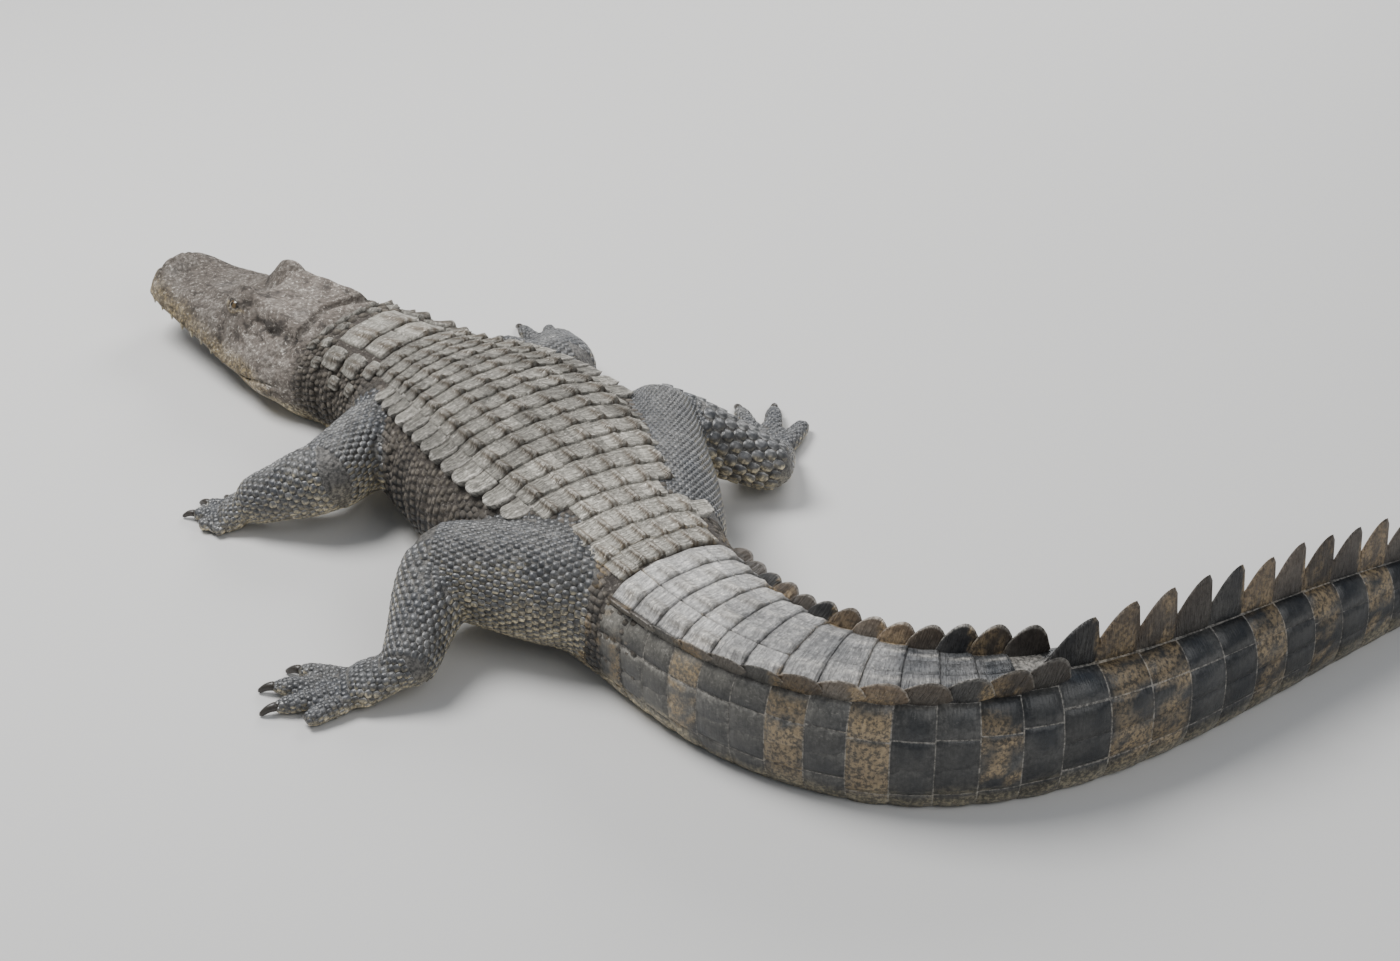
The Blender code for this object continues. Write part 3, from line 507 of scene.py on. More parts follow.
def nostril_relief(along, side):
    """Two crescent nostrils on the disc at the tip of the snout."""
    ahead, out = along - NOSTRIL[0], np.abs(side) - NOSTRIL[1]
    curved = out - 0.35 * ahead**2 / 0.006
    slit = np.exp(-((curved / 0.0020) ** 2) - (ahead / 0.0052) ** 2)
    lip = np.exp(-((np.hypot(out / 0.0052, ahead / 0.0082) - 1) / 0.28) ** 2)
    return -0.0050 * slit + 0.0010 * lip


def grid_normals(points):
    """Unit normals of a grid that is closed round its second axis, facing out."""
    along = np.gradient(points, axis=0)
    around = (np.roll(points, -1, axis=1) - np.roll(points, 1, axis=1)) / 2
    normal = np.cross(along, around)
    return normal / np.maximum(np.linalg.norm(normal, axis=-1), 1e-12)[..., None]


def make_object(name, points, faces, masks=None, bake_map=None):
    """A mesh object from arrays: points, a list of face arrays of one size each, and point attributes."""
    mesh = bpy.data.meshes.new(name)
    mesh.vertices.add(len(points))
    mesh.vertices.foreach_set("co", np.asarray(points, np.float32).ravel())
    corners = np.concatenate([block.ravel() for block in faces]).astype(np.int32)
    sizes = np.concatenate([np.full(len(block), block.shape[1]) for block in faces]).astype(np.int32)
    mesh.loops.add(len(corners))
    mesh.loops.foreach_set("vertex_index", corners)
    mesh.polygons.add(len(sizes))
    mesh.polygons.foreach_set("loop_start", (np.cumsum(sizes) - sizes).astype(np.int32))
    mesh.update(calc_edges=True)
    write_masks(mesh, masks or {})
    if bake_map is not None:
        layer = mesh.uv_layers.new(name="OFBake")
        layer.data.foreach_set("uv", np.asarray(bake_map, np.float32)[corners].ravel())
    mesh.shade_smooth()
    thing = bpy.data.objects.new(name, mesh)
    bpy.context.scene.collection.objects.link(thing)
    return thing


def write_masks(mesh, masks):
    """Point attributes from arrays, new ones or over those that the mesh has."""
    for key, values in masks.items():
        layer = mesh.attributes.get(key) or mesh.attributes.new(key, "FLOAT", "POINT")
        layer.data.foreach_set("value", np.asarray(values, np.float32))


def grid_faces(rows, columns, closed):
    """Quads of a grid of points, closed round the columns where asked."""
    i, j = np.meshgrid(np.arange(rows - 1), np.arange(columns - (not closed)), indexing="ij")
    here, after = i * columns + j, i * columns + (j + 1) % columns
    return np.stack([here, after, after + columns, here + columns], axis=-1).reshape(-1, 4)


def limb_parts(name):
    """World places of a limb's joints, the radii of its upper and lower part, and the kind of its paw."""
    joints = np.array([place(*joint) for joint in LIMBS[name]])
    if name.startswith("arm"):
        return joints, ARM_RADII, "hand"
    return joints, LEG_RADII, "foot"


def closed_tube(rings):
    """Points and faces of a tube of rings with a fan at each end, facing out."""
    rows, columns = rings.shape[:2]
    points = np.concatenate([rings.reshape(-1, 3), rings[0].mean(axis=0)[None], rings[-1].mean(axis=0)[None]])
    j = np.arange(columns)
    first = np.stack([np.full(columns, rows * columns), (j + 1) % columns, j], axis=-1)
    last = (rows - 1) * columns
    final = np.stack([np.full(columns, rows * columns + 1), last + j, last + (j + 1) % columns], axis=-1)
    return points, [grid_faces(rows, columns, True), np.concatenate([first, final])]


def outward(thing):
    """Turns the faces of a closed mesh outwards."""
    work = bmesh.new()
    work.from_mesh(thing.data)
    bmesh.ops.recalc_face_normals(work, faces=work.faces)
    work.to_mesh(thing.data)
    work.free()
    return thing


def tube_rings(path, radii, sides, flat=1.0):
    """Rings round a path, lowered by a factor and held above the floor."""
    path, radii = np.asarray(path, float), np.asarray(radii, float)
    ahead = np.gradient(path, axis=0)
    ahead /= np.linalg.norm(ahead, axis=1)[:, None]
    across = np.cross(ahead, (0, 0, 1))
    across /= np.maximum(np.linalg.norm(across, axis=1), 1e-6)[:, None]
    up = np.cross(across, ahead)
    angle = np.linspace(0, 2 * math.pi, sides, endpoint=False)[None, :, None]
    reach = radii[:, None, None]
    rings = path[:, None] + reach * (np.cos(angle) * across[:, None] + flat * np.sin(angle) * up[:, None])
    rings[..., 2] = np.maximum(rings[..., 2], 0)
    return rings


def capsule_rings(start, end, radii, bulge=0.0):
    """A limb segment between two joints with rounded ends, fuller at a third of its length."""
    start, end = np.asarray(start, float), np.asarray(end, float)
    ahead = (end - start) / np.linalg.norm(end - start)
    first, last = start - 0.8 * radii[0] * ahead, end + 0.8 * radii[2] * ahead
    length = np.linalg.norm(last - first)
    share = (1 - np.cos(np.linspace(0, math.pi, 15))) / 2
    width = np.interp(share, (0, 0.5, 1), radii) * (1 + bulge * bell(share, 0.38, 0.2))
    near = np.clip((radii[0] - share * length) / radii[0], 0, 1)
    far = np.clip((radii[2] - (1 - share) * length) / radii[2], 0, 1)
    width = width * np.sqrt(np.maximum(1 - near**2, 0.10)) * np.sqrt(np.maximum(1 - far**2, 0.10))
    return tube_rings(first + share[:, None] * (last - first), width, 20)


def toe_paths(name):
    """Each toe's path from the palm to the root of the claw, its direction, and whether it has a claw."""
    (_, _, wrist, tip), _, paw = limb_parts(name)
    radius = TOE_RADIUS[paw]
    length = np.linalg.norm((tip - wrist)[:2])
    middle = math.atan2(*(tip - wrist)[1::-1])
    inner = 1 if name.endswith("left") else -1
    root = wrist + (tip - wrist) * 0.22
    run = np.linspace(0, 1, 9)
    found = []
    for number, (spread, share) in enumerate(TOES[paw]):
        turn = middle + math.radians(spread) * inner
        ahead = np.array([math.cos(turn), math.sin(turn), 0])
        path = root + run[:, None] * (share * length * 0.80) * ahead
        path[:, 2] = np.interp(run, (0, 0.5, 1), (wrist[2] * 0.55, radius * 1.05, radius * 0.72))
        found.append((path, ahead, number < CLAWED_TOES))
    return found


def toe_radii(paw):
    """Radii along a toe, with a knuckle at two thirds and a blunt end."""
    run = np.linspace(0, 1, 9)
    width = 1.02 - 0.14 * run + 0.08 * bell(run, 0.62, 0.10)
    return TOE_RADIUS[paw] * width * np.where(run == 1, 0.62, 1.0)


def web_points(toes):
    """A low fan between the toes of a hind foot, its edge drawn in between the toe tips."""
    root = toes[0][0][0]
    ends = np.array([path[-1] - root for path, _, _ in toes])[:, :2]
    turn = np.unwrap(np.arctan2(ends[:, 1], ends[:, 0]))
    reach = np.hypot(ends[:, 0], ends[:, 1])
    order = np.argsort(turn)
    number = np.arange(len(toes))
    share = np.linspace(0, len(toes) - 1, 8 * len(toes) - 7)
    drawn_in = 0.70 - 0.20 * np.sin(math.pi * share) ** 2
    turn, reach = np.interp(share, number, turn[order]), np.interp(share, number, reach[order]) * drawn_in
    edge = root[:2] + reach[:, None] * np.stack([np.cos(turn), np.sin(turn)], axis=-1)
    rim = np.concatenate([root[None, :2], edge])
    return np.stack([np.c_[rim, np.full(len(rim), height)] for height in WEB_HEIGHTS])


def limb_object(name):
    """One limb: rounded segments, palm and toes joined by a fine voxel remesh and smoothed."""
    joints, radii, paw = limb_parts(name)
    palm_end = joints[2] + (joints[3] - joints[2]) * PALM_SHARE
    palm_end[2] = TOE_RADIUS[paw] * 0.9
    run = np.linspace(0, 1, 9)
    palm = joints[2] + run[:, None] * (palm_end - joints[2])
    palm_radii = np.interp(run, (0, 0.25, 0.5, 0.75, 1), (0.8, 1.0, 1.05, 1.15, 0.8)) * radii[1][2]
    toes = toe_paths(name)
    tubes = [
        capsule_rings(joints[0], joints[1], radii[0], 0.05),
        capsule_rings(joints[1], joints[2], radii[1], 0.10),
        tube_rings(palm, palm_radii, 16, 0.62),
    ]
    tubes += [tube_rings(path, toe_radii(paw), 12, 0.9) for path, _, _ in toes]
    if paw == "foot":
        tubes.append(web_points(toes))
    thing = joined_tubes(f"limb_{name}", [closed_tube(rings) for rings in tubes])
    remesh = thing.modifiers.new("one form", "REMESH")
    remesh.mode = "VOXEL"
    remesh.voxel_size = LIMB_VOXEL
    soften = thing.modifiers.new("soften", "SMOOTH")
    soften.iterations = 4
    soften.factor = 0.6
    return applied(thing)


def read_array(items, key, kind=np.float32, width=1):
    """One property of all items of a mesh as an array of one row for each item."""
    values = np.empty(len(items) * width, kind)
    items.foreach_get(key, values)
    return values.reshape(-1, width) if width > 1 else values


def applied(thing):
    """The object with its modifiers turned into mesh."""
    graph = bpy.context.evaluated_depsgraph_get()
    mesh = bpy.data.meshes.new_from_object(thing.evaluated_get(graph))
    thing.modifiers.clear()
    thing.data = mesh
    return thing


def read_points(mesh):
    """Places of a mesh's points."""
    return read_array(mesh.vertices, "co", width=3).astype(float)


def read_normals(mesh):
    """Directions that a mesh's points face."""
    return read_array(mesh.vertex_normals, "vector", width=3).astype(float)


def nearest(points, targets):
    """Index of the nearest target to each point, and the distance, by blocks of a distance table."""
    index = np.empty(len(points), int)
    gap = np.empty(len(points))
    square = (targets**2).sum(axis=1)
    for start in range(0, len(points), NEAREST_BLOCK):
        part = points[start:start + NEAREST_BLOCK]
        table = square[None] - 2 * part @ targets.T
        found = table.argmin(axis=1)
        index[start:start + NEAREST_BLOCK] = found
        gap[start:start + NEAREST_BLOCK] = np.linalg.norm(part - targets[found], axis=1)
    return index, gap


def soften_joins(mesh):
    """Rounds the creases where limbs leave the body: Laplacian smoothing that fades with distance.

    It gives back the number of the part that each point belongs to.
    """
    points = read_points(mesh)
    source = read_array(mesh.attributes["source"].data, "value", np.int32)
    corners = read_array(mesh.loops, "vertex_index", np.int32)
    per_corner = np.repeat(source, read_array(mesh.polygons, "loop_total", np.int32))
    low, high = np.full(len(points), 99), np.full(len(points), -1)
    np.minimum.at(low, corners, per_corner)
    np.maximum.at(high, corners, per_corner)
    seam = points[(low != high) & (high >= 0)]
    one, two = read_array(mesh.edges, "vertices", np.int32, 2).T
    near = np.abs(points[:, None] - seam[None, ::12]).max(axis=2).min(axis=1) < 0.05
    weight = np.zeros(len(points))
    weight[near] = ease(0.026, 0.004, nearest(points[near], seam)[1])
    count = len(points)
    degree = np.maximum(np.bincount(one, minlength=count) + np.bincount(two, minlength=count), 1)
    for _ in range(JOIN_PASSES):
        total = np.stack([
            np.bincount(one, points[two, k], count) + np.bincount(two, points[one, k], count)
            for k in range(3)
        ], axis=-1)
        points += (total / degree[:, None] - points) * (0.6 * weight)[:, None]
    mesh.vertices.foreach_set("co", points.astype(np.float32).ravel())
    mesh.update()
    made["skin_near_join"] = weight > 0.03
    return high


def mark_source(thing, value):
    """Writes the number of a part on all faces of an object."""
    layer = thing.data.attributes.new("source", "INT", "FACE")
    layer.data.foreach_set("value", np.full(len(thing.data.polygons), value, np.int32))


def region_masks(points, normals, limb):
    """Masks of the hide's colours from the place on the body: mud, tan bands, cream underside, jaw edge."""
    station, _ = body_places(points)
    height, up = points[:, 2], normals[:, 2]
    low_noise = noise(points, 0.030)
    fine_noise = noise(points, 0.009, 2)
    mud = ease(1.30, 0.80, station + 0.08 * low_noise) * ease(-0.3, 0.5, up + 0.25 * low_noise)
    mud = np.maximum(mud, ease(0.44, 0.34, station) * ease(-0.65, 0.0, up + 0.2 * low_noise))
    mud = mud * np.where(limb, 0.10, 1.0)
    band = tail_bands(station, height, points)
    band = band * (1 - ease(0.45, 0.75, up) * (station < CREST_MERGE))
    cream = ease(0.030, 0.008, height - 0.010 * low_noise) * ease(0.35, -0.3, up)
    cream = np.where(limb, ease(0.28, -0.20, up + 0.30 * low_noise + 0.20 * fine_noise), cream)
    cream = cream * np.where(station > 1.0, 0.55, 1.0)
    above = height - raise_at(station) - 0.004 * low_noise
    jaw = ease(0.27, 0.22, station) * ease(0.050, 0.030, above)
    return {"mud": mud, "band": band * ~limb, "pale": np.clip(cream, 0, 1), "jaw": jaw * ~limb}


def skin_masks(points, normals, part):
    """Masks of the skin: its regions, and the tone, seams and rims of head, trunk, tail and limbs."""
    masks = region_masks(points, normals, part > 0)
    station, side = body_places(points)
    masks["tone"] = 0.5 + 0.34 * ease(0.14, 0.20, station) * ease(0.30, 0.27, station)
    trunk = ease(0.27, 0.31, station) * ease(0.93, 0.89, station) * (part == 0)
    head = ease(0.31, 0.27, station)
    rough = rugose(points) / 0.0005
    behind = bell(station, 0.280, 0.007) * ease(0.070, 0.085, points[:, 2])
    lid, lower_lid = lid_masks(points)
    groove = 0.60 * table_groove(station, side) * (points[:, 2] > 0.07)
    # Painted shade: the seam mask darkens the grooves of the rough skull, the hollow behind the skull and the
    # groove round the skull table; the rest is the dark skin between the trunk's scutes and the dark edges of
    # the lids.
    seam = 0.55 * trunk + 0.70 * ease(0.1, -1.0, rough) * head + 0.4 * behind + lid + groove
    masks["seam"] = np.clip(seam, 0, 1)
    tail = ease(0.89, 0.93, station) * ease(TAIL_END - 0.030, TAIL_END - 0.045, station) * (part == 0)
    masks["rim"] = 0.25 * (part > 0) + 0.60 * tail
    masks["rim"] += 0.16 * ease(0.0, 1.0, rough) * head
    masks["pale"] = np.where(part > 0, 0.25, 1.0) * masks["pale"]
    masks["jaw"] = np.maximum(masks["jaw"], lower_lid)
    return masks


# Station of the middle of each tan band of the tail and how full it is, and of the band on the flank.
BANDS = (
    (0.925, 0.45), (1.005, 0.60), (1.085, 0.95), (1.160, 1.00), (1.255, 0.45), (1.350, 0.60),
    (1.430, 0.50), (1.520, 0.70), (1.605, 0.50), (1.700, 0.60), (1.790, 0.50), (1.870, 0.50),
)
FLANK_BAND = 0.875


def ring_band(station):
    """How full the tan band of each station's ring of the tail is, zero where there is none."""
    edges = tail_edges()
    ring = np.clip(np.searchsorted(edges, station) - 1, 0, len(edges) - 2)
    middle, length = rings_of(edges)
    bands = np.array(BANDS)
    gap = np.abs(middle[ring][:, None] - bands[None, :, 0])
    return np.where(gap.min(axis=1) < length[ring] / 2, bands[gap.argmin(axis=1), 1], 0.0)


def tail_bands(station, height, points):
    """Tan bands that each fill a ring of the tail, ragged on the flank, broken into blotches by noise."""
    wobble = 0.010 * noise(points, 0.035, 3)
    flank = 0.7 * ease(0.018, 0.008, np.abs(station + wobble - FLANK_BAND))
    full = np.maximum(ring_band(station) * (station > TRUNK_END), flank)
    blotch = noise(points, 0.009, 5) + 0.7 * noise(points, 0.024, 6) + 1.9 * full
    return ease(0.75, 1.25, blotch) * ease(0, 0.2, full) * ease(0.004, 0.030, height)


def new_group(name, inputs, outputs):
    """An empty node group with named sockets, and the sockets that its nodes read and write."""
    group = bpy.data.node_groups.new(name, "ShaderNodeTree")
    for label, kind, *default in inputs:
        socket = group.interface.new_socket(label, in_out="INPUT", socket_type=kind)
        if default:
            socket.default_value = default[0]
    for label, kind in outputs:
        group.interface.new_socket(label, in_out="OUTPUT", socket_type=kind)
    return Graph(group), group.nodes.new("NodeGroupInput").outputs, group.nodes.new("NodeGroupOutput")


def new_material(name):
    """A material with the graph of its nodes and its shader."""
    surface = bpy.data.materials.new(name)
    surface.use_nodes = True
    return surface, Graph(surface.node_tree), surface.node_tree.nodes["Principled BSDF"]


class Graph:
    """Adds nodes to a tree. A value is a number, a colour or the socket of another node."""

    def __init__(self, tree):
        self.tree = tree

    def fill(self, node, *pairs):
        """Sets or links sockets of a node, given as pairs of name or number and value."""
        for key, value in pairs:
            if isinstance(value, bpy.types.NodeSocket):
                self.tree.links.new(value, node.inputs[key])
            else:
                node.inputs[key].default_value = value
        return node

    def add(self, kind, *pairs, **settings):
        """A node of a kind with its settings and sockets."""
        node = self.tree.nodes.new(kind)
        for key, value in settings.items():
            setattr(node, key, value)
        return self.fill(node, *pairs)

    def position(self):
        """Places on the piece in metres."""
        return self.add("ShaderNodeTexCoord").outputs["Object"]

    def mask(self, name):
        """The value of a point attribute."""
        return self.add("ShaderNodeAttribute", attribute_name=name).outputs["Fac"]

    def math(self, operation, *values):
        """One step of arithmetic."""
        return self.add("ShaderNodeMath", *enumerate(values), operation=operation).outputs[0]

    def times(self, first, second):
        """The product of two values."""
        return self.math("MULTIPLY", first, second)

    def span(self, *values):
        """A value eased from a range, low and high, to another, zero to one if it isn't given."""
        return self.add("ShaderNodeMapRange", *enumerate(values), interpolation_type="SMOOTHSTEP").outputs[0]

    def mix(self, factor, first, second, blend="MIX"):
        """A mix of two colours."""
        pairs = ((0, factor), (6, first), (7, second))
        return self.add("ShaderNodeMix", *pairs, data_type="RGBA", blend_type=blend).outputs[2]

    def noise(self, place, scale, detail, roughness, distortion=0.0):
        """A noise from zero to one."""
        names = ("Vector", "Scale", "Detail", "Roughness", "Distortion")
        pairs = zip(names, (place, scale, detail, roughness, distortion))
        return self.add("ShaderNodeTexNoise", *pairs).outputs["Fac"]

    def cells(self, place, scale, feature="F1"):
        """Distance from the middle of the nearest cell."""
        pairs = (("Vector", place), ("Scale", scale))
        return self.add("ShaderNodeTexVoronoi", *pairs, feature=feature).outputs["Distance"]


def hide_group():
    """Colour of the hide: a dark ground, then mud, tan, cream, jaw, keels, rims and speckles by masks."""
    colour, value = "NodeSocketColor", "NodeSocketFloat"
    inputs = [(name, colour) for name in COLOURS] + [("Speckle", value, 0.5), ("Striae", value, 0.0)]
    graph, get, leave = new_group("hide colours", inputs, [("Color", colour), ("Roughness", value)])
    place = graph.position()
    broad = graph.noise(place, 28, 5.0, 0.62)
    fine = graph.noise(place, 260, 4.0, 0.65)
    wisps = graph.noise(place, 95, 1.0, 0.4, 0.8)
    spotted = graph.span(fine, 0.46, 0.58, 0.35, 1.0)
    # Each layer is a mask, what breaks it up, and its colour.
    layers = (
        ("mud", graph.span(broad, 0.20, 0.50, 0.55, 1.0), "Mud"),
        ("band", graph.span(fine, 0.40, 0.56, 0.30, 1.0), "Tan"),
        # The keel layer: the keels' own brown with painted shade along the keels of scutes and plates, and
        # the real brown of the crest scutes.
        ("pale", spotted, "Cream"), ("jaw", spotted, "Jaw"), ("keel", None, "Keel"),
        # The rim layer: the real pale rims of scales, and a painted highlight on the crests of the keels.
        ("rim", graph.span(fine, 0.35, 0.65, 0.35, 1.0), "Rim"),
    )
    out = graph.mix(graph.span(broad, 0.35, 0.65, 0.0, 0.16), get["Dark"], get["Mud"])
    for mask, broken, name in layers:
        share = graph.mask(mask)
        out = graph.mix(share if broken is None else graph.times(share, broken), out, get[name])
    # Dust in grains and in fine scratches.
    grains = graph.span(graph.cells(place, 260), 0.22, 0.40, 1.0, 0.0)
    dust = graph.times(grains, graph.span(fine, 0.50, 0.62))
    dust = graph.times(dust, graph.span(broad, 0.40, 0.60, 0.15, 1.0))
    crossing = graph.math("ABSOLUTE", graph.math("SUBTRACT", wisps, 0.5))
    scratch = graph.times(graph.span(crossing, 0.004, 0.016, 0.8, 0.0), graph.span(fine, 0.42, 0.56))
    dust = graph.times(graph.math("MAXIMUM", dust, scratch), get["Speckle"])
    out = graph.mix(graph.times(dust, graph.mask("mud")), out, get["Rim"])
    # Light and dark: each scale's own tone, fine noise, the seam mask, which holds dark seams and painted
    # shade, and the grooves of the plates.
    tone = graph.span(graph.mask("tone"), 0.0, 1.5, 0.66, 1.90)
    shade = graph.times(tone, graph.span(fine, 0.28, 0.72, 0.68, 1.32))
    shade = graph.times(shade, graph.span(graph.mask("seam"), 0.0, 1.0, 1.0, 0.30))
    grooves = graph.times(graph.math("SUBTRACT", 1.0, fibres(graph)), get["Striae"])
    shade = graph.times(shade, graph.math("SUBTRACT", 1.0, grooves))
    grey = graph.add("ShaderNodeCombineColor", (0, shade), (1, shade), (2, shade)).outputs[0]
    wear = graph.math("ADD", graph.mask("mud"), graph.span(fine, 0.3, 0.7, -0.2, 0.2))
    rough = graph.span(wear, 0.0, 1.0, 0.35, 0.80)
    graph.fill(leave, ("Color", graph.mix(1.0, out, grey, "MULTIPLY")), ("Roughness", rough))
    return graph.tree


def fibres(graph):
    """Fine ridges that run across each plate, one where high and zero in the grooves between."""
    parts = (("across", 60.0), ("along", 520.0), ("tone", 37.0))
    lie = [graph.times(graph.mask(name), scale) for name, scale in parts]
    place = graph.add("ShaderNodeCombineXYZ", *enumerate(lie)).outputs[0]
    return graph.span(graph.noise(place, 1.0, 2.0, 0.55, 0.4), 0.34, 0.60)


def relief_group():
    """Height of fine relief: pebbles, fibres that run across, and dust, each with its own share."""
    value = "NodeSocketFloat"
    inputs = [(name, value, default) for name, default in zip(RELIEF, (0.5, 260.0, 0.0, 0.3))]
    graph, get, leave = new_group("hide relief", inputs, [("Height", value)])
    place = graph.position()
    dome = graph.math("SUBTRACT", 1.0, graph.cells(place, get["Pebble Scale"], "SMOOTH_F1"))
    total = graph.times(dome, get["Pebbles"])
    total = graph.math("ADD", total, graph.times(fibres(graph), get["Fibres"]))
    grain = graph.noise(place, 900, 3.0, 0.6)
    total = graph.math("ADD", total, graph.times(grain, get["Grain"]))
    graph.fill(leave, ("Height", total))
    return graph.tree


def hide_material(name, colours, relief, strength, speckle, gloss=0.35, striae=0.0):
    """A material of the hide: the two groups with this piece's own colours, relief and striae."""
    surface, graph, shader = new_material(name)
    paints = [(key, (*value, 1)) for key, value in colours.items()]
    paints += [("Speckle", speckle), ("Striae", striae)]
    paint = graph.add("ShaderNodeGroup", node_tree=made["hide_group"])
    graph.fill(paint, *paints)
    forms = graph.add("ShaderNodeGroup", node_tree=made["relief_group"])
    height = graph.fill(forms, *zip(RELIEF, relief)).outputs["Height"]
    bump = graph.add("ShaderNodeBump", ("Strength", strength), ("Distance", 0.0012), ("Height", height))
    graph.fill(
        shader, ("Normal", bump.outputs["Normal"]), ("Base Color", paint.outputs["Color"]),
        ("Roughness", paint.outputs["Roughness"]), ("Specular IOR Level", gloss))
    return surface


def hide_colours(**changes):
    """The colours of the sidebar's panel, with this piece's own changes."""
    props = bpy.context.scene.alligator_colours
    return {**{name: tuple(getattr(props, name.lower())) for name in COLOURS}, **changes}


def deep(*values):
    """Arrays of one value for each scale, with two more axes for the places on its grid."""
    return [np.asarray(value, float)[:, None, None] for value in values]


def grid_set(points, masks, map_across, map_along, u, v):
    """Many equal grids as one set: flat points, faces, masks, and a patch of the bake map for each grid."""
    count, rows, columns = points.shape[:3]
    first = (np.arange(count) * rows * columns)[:, None, None]
    faces = (grid_faces(rows, columns, False)[None] + first).reshape(-1, 4)
    masks = {key: np.broadcast_to(values, points.shape[:3]).reshape(-1) for key, values in masks.items()}
    patch = np.stack(np.broadcast_arrays(map_across + MAP_CELL * u, map_along + MAP_CELL * v), axis=-1)
    return points.reshape(-1, 3), faces, masks, patch.reshape(-1, 2)


def map_place(station):
    """Where a station lies across the bake map."""
    return 0.03 + 0.94 * station / TAIL_END


def finish_piece(thing, material, slot, *replaced):
    """Gives a piece its material, and ties it to the frame."""
    thing.data.materials.clear()
    thing.data.materials.append(material)
    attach(thing, "root")
    if replaced:
        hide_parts(*replaced)
    made[thing.name] = thing
    return thing


def plates(draw, station, angle, length, width, profile, cells, inner=0.94, paler=0.0):
    """Plates that follow the body's surface, each a square grid; draw numbers their random tones.

    The other arguments are arrays with a value for each plate. The grid's places run from -1 to 1 across
    and from -1 at the front to 1 at the back; profile gives outline and lift from them. The outermost
    ring of points is sunk below the skin, and the next one lies at inner.
    """
    line = np.linspace(-1, 1, cells)
    line = np.where(np.abs(line) > 0.999, line, line * inner / (1 - 2 / (cells - 1)))
    u, v = (grid[None] for grid in np.meshgrid(line, line, indexing="ij"))
    station, angle, length, width = deep(station, angle, length, width)
    shape_u, shape_v, lift, extra = profile(u, v)
    turn = width / 2 / arc_per_turn(station, angle)
    points = skin(station + shape_v * length / 2, angle + shape_u * turn, lift)
    tone = np.random.default_rng(SEED + draw).random(len(station))[:, None, None]
    masks = {
        "tone": 0.26 + 0.48 * tone + paler,
        "across": shape_u * width / 2,
        "along": shape_v * length / 2,
    }
    return grid_set(points, masks | extra, map_place(station), 0.30 + 0.20 * angle / math.pi, u, v)


def showing(station, angle):
    """Which places of the body's surface are not inside a limb."""
    centre = skin(station, angle)
    index, gap = nearest(centre, made["skin_points"][::3])
    return (made["skin_part"][::3][index] == 0) | (gap < 0.003)


def arc_places(station, start, end, count):
    """Angles of the middles and the width of equal shares of one section between two angles."""
    fine = np.linspace(start, end, 120)
    side, height = section(np.full(120, station), fine)
    total = np.concatenate([[0], np.cumsum(np.hypot(np.diff(side), np.diff(height)))])
    middle = (np.arange(count) + 0.5) / count * total[-1]
    return np.interp(middle, total, fine), total[-1] / count


def joined(name, sets, limb=False):
    """One object from several sets of plates or scales, with the masks of their places added."""
    points = np.concatenate([part[0] for part in sets])
    starts = np.cumsum([0] + [len(part[0]) for part in sets])
    faces = np.concatenate([part[1] + start for part, start in zip(sets, starts)])
    keys = sorted({key for part in sets for key in part[2]})
    masks = {key: np.concatenate([part[2].get(key, np.zeros(len(part[0]))) for part in sets]) for key in keys}
    thing = make_object(name, points, [faces], masks, np.concatenate([part[3] for part in sets]))
    regions = region_masks(points, read_normals(thing.data), np.full(len(points), limb))
    if limb:
        # Cream scales have dark seams between them, and the others pale rims.
        cream = regions["pale"]
        regions["pale"] = cream * (1 - masks["rim"])
        regions["rim"] = masks["rim"] * (1 - cream)
        regions["seam"] = 0.8 * masks["rim"] * cream
    write_masks(thing.data, regions)
    return thing


def rounded(u, v, roundness):
    """The square of the plate's places drawn in at its corners, by half the square of the other place."""
    return u * np.sqrt(1 - roundness * v**2 / 2), v * np.sqrt(1 - roundness * u**2 / 2)


